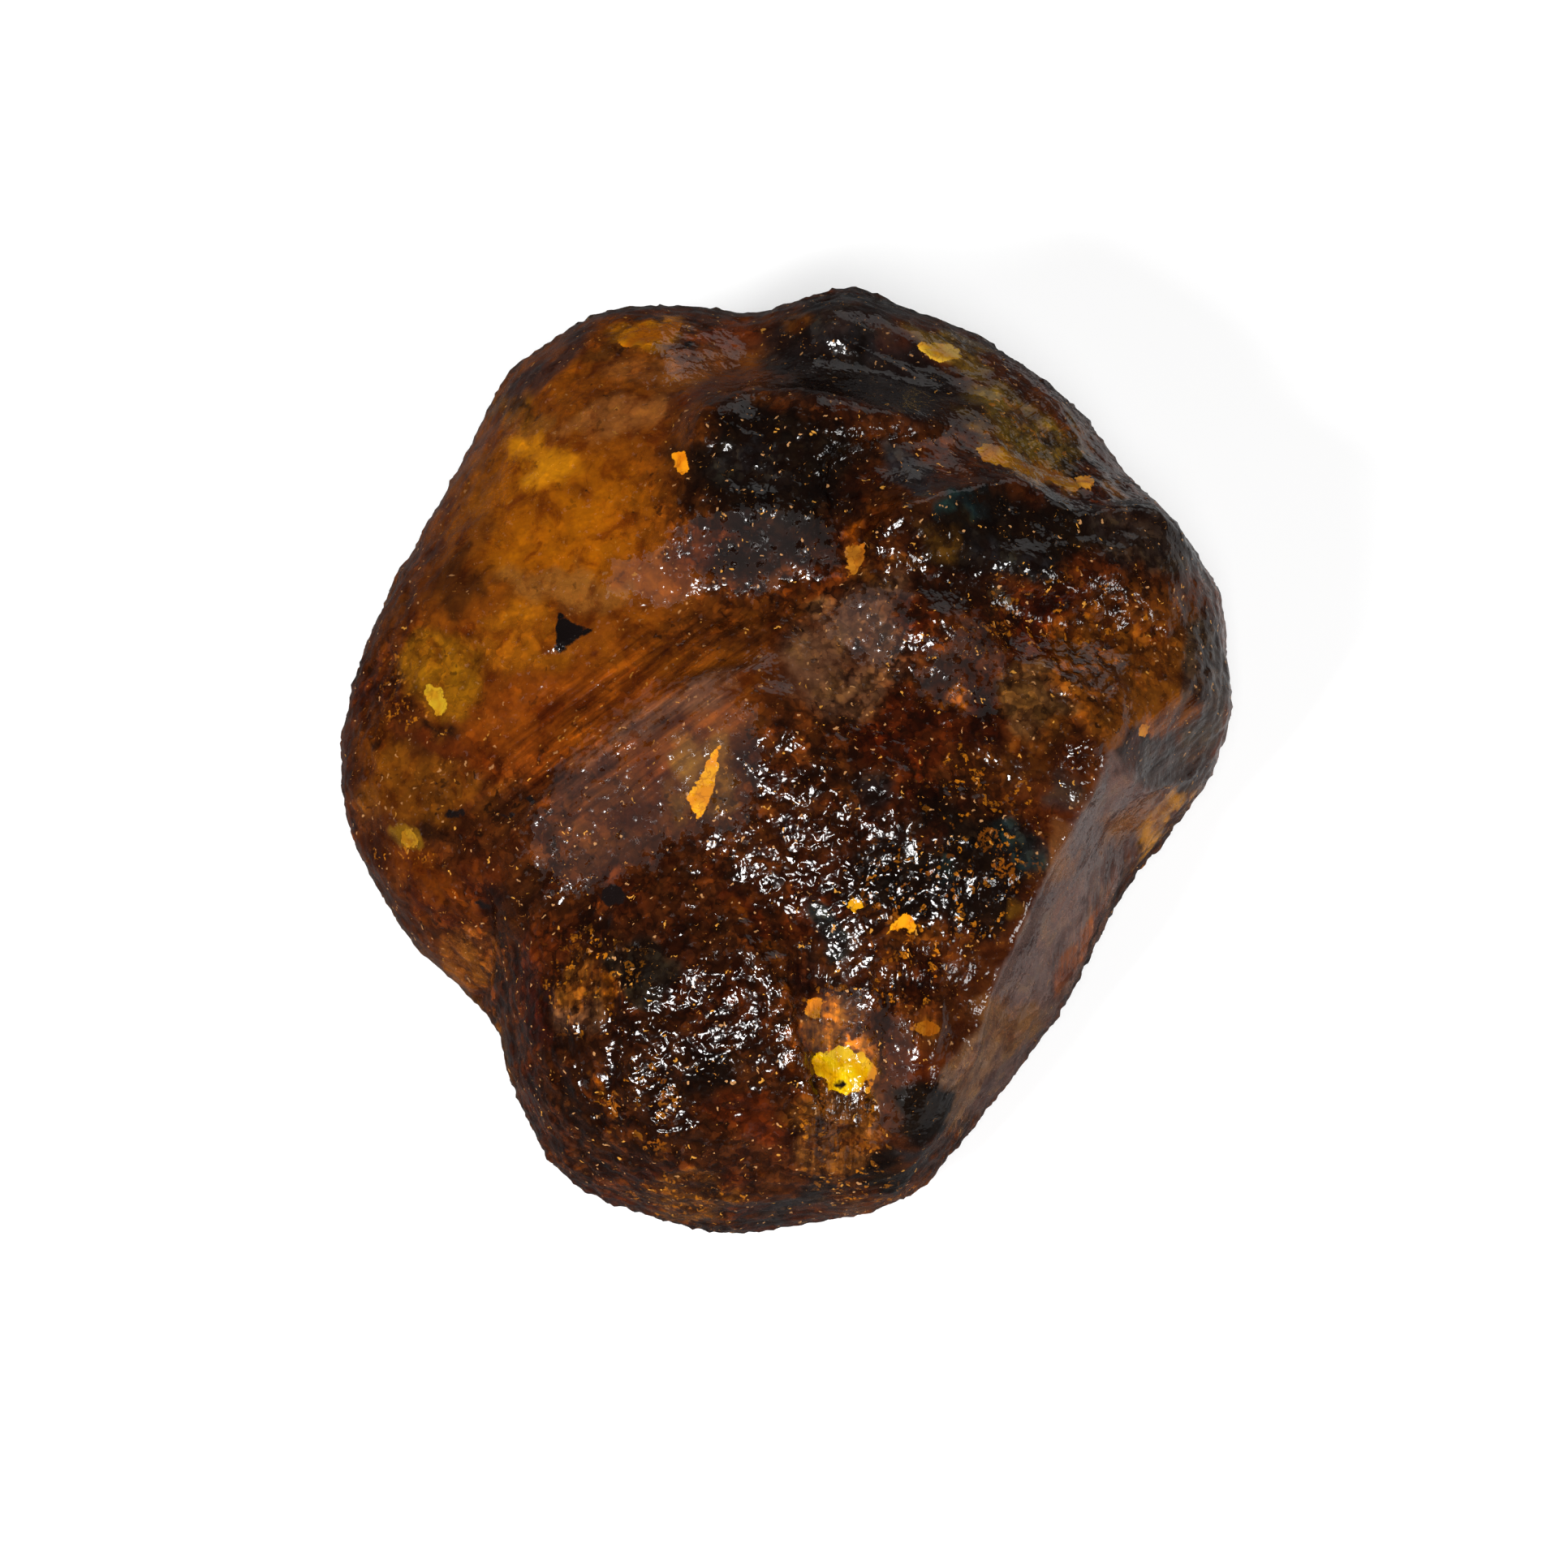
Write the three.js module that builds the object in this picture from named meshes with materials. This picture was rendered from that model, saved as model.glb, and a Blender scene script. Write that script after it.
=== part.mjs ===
// A raw amber nodule: one solid lump of fossil resin, about 47 mm wide, 50 mm deep and 27 mm high, lying on its
// flattened underside. Units are millimetres, +Z is up, and the origin is on the table under the middle of
// its box.
//
// The broad domed side, the face, leans towards -Y. Its relief is described in the face's own frame: u runs to
// the right (+X), v runs up the face, and w stands out of it, FACE_ELEVATION degrees above the table.

import * as THREE from "three";
import { mergeVertices } from "three/addons/utils/BufferGeometryUtils.js";
import { ImprovedNoise } from "three/addons/math/ImprovedNoise.js";

// Driving dimensions
const FACE_ELEVATION = 60; // degrees from the table to the face's normal
const CENTRE_HEIGHT = 12; // of the face frame's origin above the table
const DOME_ELEVATION = 78; // degrees from the table to the axis that the dome rises along
const DOME_RISE = 10.5; // from the centre to the top of the dome
const BELLY_DEPTH = 14.2; // from the centre to the underside, before it is flattened
const DOME_FULLNESS = 3.0; // 2 is an ellipsoid, and more is boxier
const BELLY_FULLNESS = 2.4;
const UNDERCUT = 0.8; // how far the belly stands back under the girth
const REST_BLEND = 0.9; // height over which the underside turns into the flat that it rests on
const MESH_DETAIL = 20; // an icosahedron's faces are split into (MESH_DETAIL + 1)^2 triangles each

// The girth: the widest loop round the nodule, as [u, v, height above the table].
const GIRTH = [
  [23.4, 0.6, 8.5],
  [23.9, 4.3, 9.5],
  [23.2, 8.3, 10.5],
  [21.2, 11.6, 11.5],
  [18.4, 14.5, 12.5],
  [16.9, 17.1, 13.0],
  [14.3, 19.8, 13.8],
  [9.9, 22.2, 14.8],
  [6.0, 23.8, 15.8],
  [3.4, 24.9, 16.2],
  [0.7, 24.1, 15.8],
  [-1.8, 23.3, 15.0],
  [-5.2, 23.7, 15.2],
  [-8.9, 23.7, 15.0],
  [-12.2, 22.5, 14.2],
  [-15.0, 19.9, 13.4],
  [-16.5, 16.7, 12.6],
  [-18.6, 12.6, 11.6],
  [-21.0, 8.2, 10.6],
  [-22.8, 3.8, 9.6],
  [-23.8, -0.4, 8.8],
  [-22.9, -4.6, 8.0],
  [-20.8, -8.4, 7.2],
  [-17.3, -11.5, 6.6],
  [-15.0, -14.0, 6.2],
  [-13.9, -17.6, 5.8],
  [-11.9, -21.1, 5.4],
  [-8.3, -23.1, 5.0],
  [-4.1, -24.3, 4.8],
  [0.4, -24.0, 4.8],
  [5.2, -23.3, 5.0],
  [8.0, -21.0, 5.4],
  [10.2, -18.2, 5.8],
  [13.5, -14.8, 6.4],
  [15.8, -11.4, 6.8],
  [16.9, -8.7, 7.2],
  [18.3, -6.2, 7.6],
  [21.2, -3.2, 8.0],
];

// Broad swells and hollows of the face: centre [u, v], half-widths, turn in degrees and rise.
const SWELLS = [
  { name: "upper_left_slab", at: [-11, 11.5], size: [8, 10], turn: 20, rise: 0.8 },
  { name: "brow_lobe", at: [-0.8, 13.6], size: [4.6, 3.6], turn: 0, rise: 2.1 },
  { name: "under_brow", at: [-2.6, 8.4], size: [5.0, 1.8], turn: 4, rise: -1.0 },
  { name: "top_trough", at: [4.2, 20.6], size: [6.0, 1.7], turn: -8, rise: -1.9 },
  { name: "top_notch", at: [-2.4, 21.8], size: [2.0, 3.2], turn: 20, rise: -1.0 },
  { name: "right_shoulder", at: [13.0, 10.6], size: [8.5, 3.4], turn: 6, rise: 2.2 },
  { name: "shoulder_foot", at: [14.0, 6.8], size: [6.0, 1.8], turn: -10, rise: -1.2 },
  { name: "ledge_crease", at: [7.4, 9.8], size: [4.2, 1.4], turn: -6, rise: -1.2 },
  { name: "central_plateau", at: [6.6, -2.0], size: [8, 6], turn: -25, rise: 1.8 },
  { name: "left_valley", at: [-8.0, 4.8], size: [10, 3.0], turn: 38, rise: -0.9 },
  { name: "lower_lobe", at: [-6.2, -14.4], size: [6.6, 7], turn: 0, rise: 2.4 },
  { name: "lower_right_lobe", at: [8.0, -18.2], size: [2.6, 4.4], turn: 0, rise: 2.0 },
  { name: "lower_trough", at: [3.2, -15.0], size: [1.8, 6.5], turn: 6, rise: -1.5 },
  { name: "left_notch", at: [-16.4, -11.8], size: [2.0, 4.2], turn: -10, rise: -2.0 },
  { name: "right_lobe", at: [20, 3.0], size: [4.4, 5], turn: 0, rise: 1.3 },
  { name: "right_notch", at: [18.0, -4.2], size: [3.0, 1.7], turn: 40, rise: -2.6 },
];

// Crests, and grooves where rise is negative, along a path over the face. near and far are their half-widths to
// the left and to the right of the path's direction, so that one side can fall steeply and the other gently.
const CRESTS = [
  {
    name: "brow",
    path: [[-5.4, 15.4], [-4.0, 17.8], [-1.6, 19.0], [2.6, 18.7], [6.0, 18.0], [9.4, 17.4]],
    near: 1.2,
    far: 3.2,
    rise: 2.9,
  },
  {
    name: "gully",
    path: [[8.6, 16.4], [6.0, 16.2], [3.4, 15.4], [2.4, 13.6], [2.8, 10.6]],
    near: 1.6,
    far: 1.6,
    rise: -1.0,
  },
  {
    name: "shoulder",
    path: [[4.4, 9.8], [5.6, 12.2], [8.4, 13.7], [11.6, 14.2], [15.0, 12.6], [18.8, 12.9], [21.6, 10.8]],
    near: 1.3,
    far: 3.2,
    rise: 3.0,
  },
  {
    name: "fold_under_shoulder",
    path: [[2.6, 7.2], [4.4, 8.8], [7.4, 8.4], [10.2, 6.2], [12.4, 4.8]],
    near: 1.3,
    far: 3.2,
    rise: 0.9,
  },
  {
    name: "plateau_edge",
    path: [[12.0, 5.0], [15.0, 4.0], [16.6, 1.8], [17.2, 0.0]],
    near: 1.5,
    far: 4.0,
    rise: 1.1,
  },
  {
    name: "flank_crest",
    path: [[16.9, 0.4], [15.6, -1.6], [13.9, -4.6], [12.1, -8.2], [10.4, -12.0], [9.4, -15.4], [8.6, -18.6]],
    near: 1.1,
    far: 3.6,
    rise: 1.1,
  },
  {
    name: "right_lobe_edge",
    path: [[17.4, -0.6], [19.4, -1.4], [21.6, -0.6]],
    near: 3.0,
    far: 1.2,
    rise: 1.1,
  },
  {
    name: "long_fold",
    path: [[-15.4, -5.8], [-11.8, -2.0], [-8.4, 1.4], [-4.4, 3.9], [0.4, 4.8]],
    near: 1.2,
    far: 3.0,
    rise: 1.1,
  },
  {
    name: "second_fold",
    path: [[-8.2, -0.8], [-4.4, 1.6], [0.6, 2.6]],
    near: 1.0,
    far: 1.8,
    rise: 0.6,
  },
  {
    name: "curved_ridge",
    path: [[-3.2, -8.4], [-1.0, -10.4], [0.3, -13.8], [1.3, -17.4], [2.2, -20.6]],
    near: 1.1,
    far: 1.8,
    rise: 0.9,
  },
  {
    name: "inner_ridge",
    path: [[4.8, -9.2], [6.0, -12.0], [5.4, -16.4], [4.2, -19.8]],
    near: 1.5,
    far: 1.1,
    rise: 0.7,
  },
];

// The steep smooth flank on the right: the face falls away by a slope to the left of a path of [u, v, w] points.
const FLANK = {
  path: [
    [19.4, 3.4, 6.4],
    [16.6, 0.4, 8.4],
    [13.9, -4.6, 9.3],
    [12.1, -8.2, 10.4],
    [10.5, -12.0, 11.3],
    [9.5, -15.4, 11.8],
    [8.8, -18.6, 11.6],
    [8.0, -23.0, 9.0],
  ],
  slope: 1.75,
  blend: 0.5,
};

// Two slopes that flatten the dome: planes that trim the face. Each passes through a point [u, v, w] and falls
// away in one direction by a slope.
const FACETS = [
  { name: "upper_right_slope", through: [11.0, 17.6, 3.5], towards: [0.6, 0.8], slope: 0.85, blend: 1.6 },
  { name: "left_slope", through: [-14.5, 6.0, 6.4], towards: [-0.92, 0.38], slope: 0.55, blend: 3.0 },
];

// Broken flats of the back and the sides, below the girth: planes that trim the belly, each facing [x, y, z] at
// a distance from the centre.
const SCARS = [
  { name: "back_scar", facing: [0.42, 0.86, -0.3], distance: 22.9, blend: 1.0 },
  { name: "back_left_scar", facing: [-0.62, 0.66, -0.42], distance: 23.0, blend: 1.2 },
  { name: "right_scar", facing: [0.93, 0.05, -0.36], distance: 22.2, blend: 1.2 },
  { name: "left_scar", facing: [-0.9, -0.1, -0.42], distance: 22.0, blend: 1.6 },
];

// Lumps over the whole surface: size of a lump and how far it stands out. The belly has its own, larger ones.
const LUMPS = [
  { size: 9, rise: 0.55 },
  { size: 4.2, rise: 0.3 },
  { size: 2.2, rise: 0.14 },
];
const BELLY_LUMPS = [
  { size: 13, rise: 1.9 },
  { size: 6.5, rise: 0.8 },
];

const radians = THREE.MathUtils.degToRad;
const elevated = (degrees) => new THREE.Vector3(0, -Math.cos(radians(degrees)), Math.sin(radians(degrees)));

const U = new THREE.Vector3(1, 0, 0);
const W = elevated(FACE_ELEVATION);
const V = new THREE.Vector3().crossVectors(W, U);
const DOME_AXIS = elevated(DOME_ELEVATION);
const noise = new ImprovedNoise();

// The girth's loop as radius and height above the centre, read by angle in the face's plane.
function girthByAngle() {
  const loop = new THREE.CatmullRomCurve3(GIRTH.map((p) => new THREE.Vector3(...p)), true, "centripetal");
  const samples = loop
    .getPoints(GIRTH.length * 16)
    .slice(1)
    .map(({ x, y, z }) => ({ angle: Math.atan2(y, x), radius: Math.hypot(x, y), height: z, v: y }))
    .sort((a, b) => a.angle - b.angle);
  const turn = 2 * Math.PI;
  const first = { ...samples[0], angle: samples[0].angle + turn };
  const last = { ...samples.at(-1), angle: samples.at(-1).angle - turn };
  return [last, ...samples, first];
}
const girth = girthByAngle();

// The girth's point in the direction of an angle, from the centre, in the part's axes.
function girthPoint(angle) {
  let low = 0;
  let high = girth.length - 1;
  while (high - low > 1) {
    const middle = (low + high) >> 1;
    if (girth[middle].angle <= angle) low = middle;
    else high = middle;
  }
  const [a, b] = [girth[low], girth[high]];
  const share = (angle - a.angle) / (b.angle - a.angle);
  const radius = THREE.MathUtils.lerp(a.radius, b.radius, share);
  const height = THREE.MathUtils.lerp(a.height, b.height, share);
  const [u, v] = [radius * Math.cos(angle), radius * Math.sin(angle)];
  const w = (height - CENTRE_HEIGHT - v * V.z) / W.z;
  return new THREE.Vector3().addScaledVector(U, u).addScaledVector(V, v).addScaledVector(W, w);
}

// The plain lens shape: the girth closed over by a dome and under by a belly.
function lensPoint(direction) {
  const across = Math.hypot(direction.x, direction.y);
  const along = Math.abs(direction.z);
  const over = direction.z > 0;
  const power = over ? DOME_FULLNESS : BELLY_FULLNESS;
  const scale = (across ** power + along ** power) ** (-1 / power);
  const rise = (over ? DOME_RISE : -BELLY_DEPTH) * along * scale;
  const outward = across > 0 ? girthPoint(Math.atan2(direction.y, direction.x)) : new THREE.Vector3();
  return outward.multiplyScalar(across * scale).addScaledVector(DOME_AXIS, rise);
}

function swellRise({ at, size, turn, rise }, u, v) {
  const [c, s] = [Math.cos(radians(turn)), Math.sin(radians(turn))];
  const [du, dv] = [u - at[0], v - at[1]];
  const along = (du * c + dv * s) / size[0];
  const across = (dv * c - du * s) / size[1];
  return rise * Math.exp(-(along * along + across * across));
}

const PATH_STEPS = 24;
const smoothPath = (path) =>
  new THREE.CatmullRomCurve3(path.map(([u, v, w = 0]) => new THREE.Vector3(u, v, w))).getPoints(PATH_STEPS);

// The place on a smooth path that is nearest to (u, v): how far off it is, on which side (1 is left of the path's
// direction and -1 right of it), how far along the path it lies, and the path's own height there.
function nearestOnPath(points, u, v) {
  let best = { distance: Infinity };
  for (let i = 0; i < PATH_STEPS; i++) {
    const [a, b] = [points[i], points[i + 1]];
    const [eu, ev] = [b.x - a.x, b.y - a.y];
    const length = Math.hypot(eu, ev);
    const share = THREE.MathUtils.clamp(((u - a.x) * eu + (v - a.y) * ev) / length ** 2, 0, 1);
    const [du, dv] = [u - a.x - share * eu, v - a.y - share * ev];
    const distance = Math.hypot(du, dv);
    if (distance < best.distance) {
      const side = distance > 0 ? (eu * dv - ev * du) / (length * distance) : 0;
      const height = THREE.MathUtils.lerp(a.z, b.z, share);
      best = { distance, side, along: (i + share) / PATH_STEPS, height };
    }
  }
  return best;
}

const CREST_TAPER = 0.22; // share of a crest's length over which it rises from each end
for (const crest of CRESTS) crest.points = smoothPath(crest.path);
FLANK.points = smoothPath(FLANK.path);

// How far a crest lifts the face at (u, v): a bell across the path, wider on one side than on the other.
function crestRise({ points, near, far, rise }, u, v) {
  const best = nearestOnPath(points, u, v);
  const width = THREE.MathUtils.lerp(far, near, 0.5 + 0.5 * best.side);
  const ends = Math.min(best.along, 1 - best.along) / CREST_TAPER;
  const taper = THREE.MathUtils.smoothstep(ends, 0, 1);
  return rise * (0.35 + 0.65 * taper) * Math.exp(-((best.distance / width) ** 2));
}

// The lower of two heights, rounded over where they meet.
function lowerOf(a, b, blend) {
  const share = THREE.MathUtils.clamp(0.5 + (b - a) / (2 * blend), 0, 1);
  return THREE.MathUtils.lerp(b, a, share) - blend * share * (1 - share);
}

// The face's height at (u, v), from the height w of the plain dome there.
function carvedHeight(u, v, w) {
  let height = w;
  for (const swell of SWELLS) height += swellRise(swell, u, v);
  for (const crest of CRESTS) height += crestRise(crest, u, v);
  for (const { through, towards, slope, blend } of FACETS) {
    const beyond = (u - through[0]) * towards[0] + (v - through[1]) * towards[1];
    height = lowerOf(height, through[2] - slope * beyond, blend);
  }
  const edge = nearestOnPath(FLANK.points, u, v);
  return lowerOf(height, edge.height - FLANK.slope * edge.side * edge.distance, FLANK.blend);
}

// How far lumps of several sizes lift the surface at a point.
function lumpRise(lumps, point) {
  let rise = 0;
  for (const lump of lumps) {
    rise += lump.rise * noise.noise(point.x / lump.size, point.y / lump.size, point.z / lump.size);
  }
  return rise;
}

// The belly's distance from the centre at a point, trimmed by its scars.
function scarredRadius(point) {
  let radius = point.length();
  const direction = point.clone().normalize();
  for (const scar of SCARS) {
    const leaning = direction.dot(new THREE.Vector3(...scar.facing).normalize());
    if (leaning > 0.2) radius = lowerOf(radius, scar.distance / leaning, scar.blend);
  }
  return radius;
}

// Flattens what lies below the table to a plane at height 0, with a rounded edge.
function restedHeight(z) {
  if (z >= REST_BLEND) return z;
  return z <= -REST_BLEND ? 0 : (z + REST_BLEND) ** 2 / (4 * REST_BLEND);
}

// The nodule's surface in one direction from its centre.
function surfacePoint(direction) {
  const point = lensPoint(direction);
  const [u, v, w] = [point.dot(U), point.dot(V), point.dot(W)];
  const facing = THREE.MathUtils.smoothstep(direction.z, 0, 0.4);
  const under = THREE.MathUtils.smoothstep(-direction.z, 0, 0.35);
  point.addScaledVector(W, facing * (carvedHeight(u, v, w) - w));
  const bellyRadius = scarredRadius(point) + lumpRise(BELLY_LUMPS, point) - UNDERCUT;
  const radius = THREE.MathUtils.lerp(point.length(), bellyRadius, under);
  point.setLength(radius + lumpRise(LUMPS, point));
  point.z = restedHeight(point.z + CENTRE_HEIGHT);
  return point;
}

function noduleGeometry() {
  const ball = new THREE.IcosahedronGeometry(1, MESH_DETAIL);
  ball.deleteAttribute("normal");
  ball.deleteAttribute("uv");
  const geometry = mergeVertices(ball);
  const position = geometry.getAttribute("position");
  const direction = new THREE.Vector3();
  for (let i = 0; i < position.count; i++) {
    direction.fromBufferAttribute(position, i).normalize();
    position.setXYZ(i, ...surfacePoint(direction).toArray());
  }
  geometry.computeBoundingBox();
  const { min, max } = geometry.boundingBox;
  geometry.translate(-(min.x + max.x) / 2, -(min.y + max.y) / 2, -min.z);
  geometry.computeVertexNormals();
  return geometry;
}

const amberMaterial = new THREE.MeshStandardMaterial({ color: 0x5a2d0c, roughness: 0.22, metalness: 0 });

const amberPiece = new THREE.Group();
const nodule = new THREE.Mesh(noduleGeometry(), amberMaterial);
nodule.name = "amber_nodule";
amberPiece.add(nodule);

export default amberPiece;
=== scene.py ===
# A raw amber nodule on a pale studio floor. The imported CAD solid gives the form; this script gives it
# its real skin (folds, bumps and pits in the mesh), its amber, and what is sealed in it.
#
# Lengths written as plain numbers are millimetres, and turns are degrees. The nodule's broad domed face
# is described in the face's own frame: u to the right, v up the face, w out of it.
import math

import bmesh
import bpy
import numpy as np
from mathutils import Matrix, Vector, noise


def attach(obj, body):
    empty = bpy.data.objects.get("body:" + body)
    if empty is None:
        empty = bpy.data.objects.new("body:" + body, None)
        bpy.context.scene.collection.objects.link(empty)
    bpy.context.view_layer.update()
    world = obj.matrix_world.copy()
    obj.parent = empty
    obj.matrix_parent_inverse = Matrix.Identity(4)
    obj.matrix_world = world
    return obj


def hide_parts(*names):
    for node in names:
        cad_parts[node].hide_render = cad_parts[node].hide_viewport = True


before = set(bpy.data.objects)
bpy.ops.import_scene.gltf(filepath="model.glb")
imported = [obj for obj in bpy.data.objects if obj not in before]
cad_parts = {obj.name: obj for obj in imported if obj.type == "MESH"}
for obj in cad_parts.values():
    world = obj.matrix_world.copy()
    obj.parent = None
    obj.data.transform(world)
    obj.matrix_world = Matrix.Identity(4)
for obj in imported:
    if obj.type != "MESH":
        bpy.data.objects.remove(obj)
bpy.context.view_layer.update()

MM = 0.001
FACE_ELEVATION = math.radians(60)
FACE_ORIGIN = Vector((-0.17, -0.94, 12.0))
U = Vector((1, 0, 0))
V = Vector((0, math.sin(FACE_ELEVATION), math.cos(FACE_ELEVATION)))
W = Vector((0, -math.cos(FACE_ELEVATION), math.sin(FACE_ELEVATION)))

# ---------------------------------------------------------------- camera
CAMERA_LENS = 150
CAMERA_DISTANCE = 346
CAMERA_DROP = 1.25

target = FACE_ORIGIN - V * CAMERA_DROP
camera = bpy.data.objects.new("camera", bpy.data.cameras.new("camera"))
camera.data.lens = CAMERA_LENS
camera.data.sensor_width = 36
camera.data.clip_start = 0.01
camera.location = (target + W * CAMERA_DISTANCE) * MM
camera.rotation_euler = (-W).to_track_quat("-Z", "Y").to_euler()
bpy.context.scene.collection.objects.link(camera)
bpy.context.scene.camera = camera


# ---------------------------------------------------------------- small tools
def smoothstep(x, low, high):
    t = np.clip((x - low) / (high - low), 0, 1)
    return t * t * (3 - 2 * t)


def linear(red, green, blue):
    """A colour given as sRGB values from 0 to 255, as linear values from 0 to 1."""
    shares = np.array([red, green, blue]) / 255
    return np.where(shares < 0.0405, shares / 12.92, ((shares + 0.055) / 1.055) ** 2.4)


def perlin(points, size, offset=0.0):
    """Perlin noise from -1 to 1 at each point, with lumps about size across."""
    scaled = (points / size + offset).tolist()
    return np.array([noise.noise(p) for p in scaled])


def cells(points, size, offset=0.0):
    """Each point's distance to its nearest and second nearest cell centre, in cells of a size."""
    scaled = (points / size + offset).tolist()
    pairs = np.array([noise.voronoi(p)[0][:2] for p in scaled])
    return pairs[:, 0], pairs[:, 1]


# ---------------------------------------------------------------- the fine mesh
def welded(node):
    """A CAD node's corners in millimetres and its triangles, with corners that share a place joined."""
    mesh = node.data
    mesh.calc_loop_triangles()
    points = np.empty(len(mesh.vertices) * 3)
    mesh.vertices.foreach_get("co", points)
    points = points.reshape(-1, 3) / MM
    triangles = np.empty(len(mesh.loop_triangles) * 3, dtype=np.int64)
    mesh.loop_triangles.foreach_get("vertices", triangles)
    key = np.round(points * 1e4).astype(np.int64)
    _, first, joined = np.unique(key, axis=0, return_index=True, return_inverse=True)
    return points[first], joined.reshape(-1)[triangles].reshape(-1, 3)


def loop_subdivided(points, triangles):
    """One step of Loop subdivision of a closed mesh: four triangles for each, and smoother."""
    starts = triangles.reshape(-1)
    ends = np.roll(triangles, -1, axis=1).reshape(-1)
    across = np.roll(triangles, -2, axis=1).reshape(-1)
    edges, edge_of = np.unique(np.sort(np.stack([starts, ends], 1), 1), axis=0, return_inverse=True)
    edge_of = edge_of.reshape(-1)

    far_sum = np.zeros((len(edges), 3))
    np.add.at(far_sum, edge_of, points[across])
    middles = 0.375 * (points[edges[:, 0]] + points[edges[:, 1]]) + 0.125 * far_sum

    neighbour_sum = np.zeros_like(points)
    np.add.at(neighbour_sum, starts, points[ends])
    valence = np.bincount(starts, minlength=len(points))[:, None]
    share = np.where(valence == 3, 3 / 16, 3 / (8 * valence))
    moved = (1 - valence * share) * points + share * neighbour_sum

    a, b, c = triangles.T
    ab, bc, ca = (edge_of.reshape(-1, 3) + len(points)).T
    corners = [[a, ab, ca], [ab, b, bc], [ca, bc, c], [ab, bc, ca]]
    fine = np.concatenate([np.stack(t, 1) for t in corners])
    return np.concatenate([moved, middles]), fine


def vertex_normals(points, triangles):
    a, b, c = (points[triangles[:, i]] for i in range(3))
    face_normals = np.cross(b - a, c - a)
    normals = np.zeros_like(points)
    for i in range(3):
        np.add.at(normals, triangles[:, i], face_normals)
    return normals / np.linalg.norm(normals, axis=1, keepdims=True)


SUBDIVISIONS = 2

points, triangles = welded(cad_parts["amber_nodule"])
for _ in range(SUBDIVISIONS):
    points, triangles = loop_subdivided(points, triangles)
normals = vertex_normals(points, triangles)


def face_coordinates(points):
    offset = points - np.array(FACE_ORIGIN)
    return offset @ np.array(U), offset @ np.array(V), offset @ np.array(W)


u, v, w = face_coordinates(points)

# How much each vertex belongs to the face, from 0 on the back to 1.
facing = smoothstep(normals @ np.array(W), -0.05, 0.3)

# Noise that warps places on the face, so that patches have ragged edges.
warp_u = perlin(points, 2.4, 21.0) * 1.3 + perlin(points, 0.9, 31.0) * 0.65
warp_v = perlin(points, 2.4, 41.0) * 1.3 + perlin(points, 0.9, 51.0) * 0.65


# ---------------------------------------------------------------- relief
def patch_radius(u, v, at, size, turn):
    """Distance from a patch's centre, as a share of its half-widths."""
    c, s = math.cos(math.radians(turn)), math.sin(math.radians(turn))
    du, dv = u - at[0], v - at[1]
    return np.hypot((du * c + dv * s) / size[0], (dv * c - du * s) / size[1])


def polygon_field(u, v, corners):
    """How far inside a polygon each place is: positive inside, negative outside."""
    inside = np.zeros(len(u), dtype=bool)
    distance = np.full(len(u), np.inf)
    for (au, av), (bu, bv) in zip(corners, corners[1:] + corners[:1]):
        du, dv = bu - au, bv - av
        share = np.clip(((u - au) * du + (v - av) * dv) / (du ** 2 + dv ** 2), 0, 1)
        distance = np.minimum(distance, np.hypot(u - au - share * du, v - av - share * dv))
        straddles = (av > v) != (bv > v)
        inside ^= straddles & (u < au + (v - av) * du / (dv or 1e-9))
    return np.where(inside, distance, -distance)


def path_distance(u, v, path):
    """Distance to a path over the face, and how far along it the nearest point is, from 0 to 1."""
    path = np.array(path, dtype=float)
    best = np.full(len(u), np.inf)
    along = np.zeros(len(u))
    spans = len(path) - 1
    for i in range(spans):
        start, step = path[i], path[i + 1] - path[i]
        share = np.clip(((u - start[0]) * step[0] + (v - start[1]) * step[1]) / (step @ step), 0, 1)
        distance = np.hypot(u - start[0] - share * step[0], v - start[1] - share * step[1])
        nearer = distance < best
        best = np.where(nearer, distance, best)
        along = np.where(nearer, (i + share) / spans, along)
    return best, along


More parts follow.
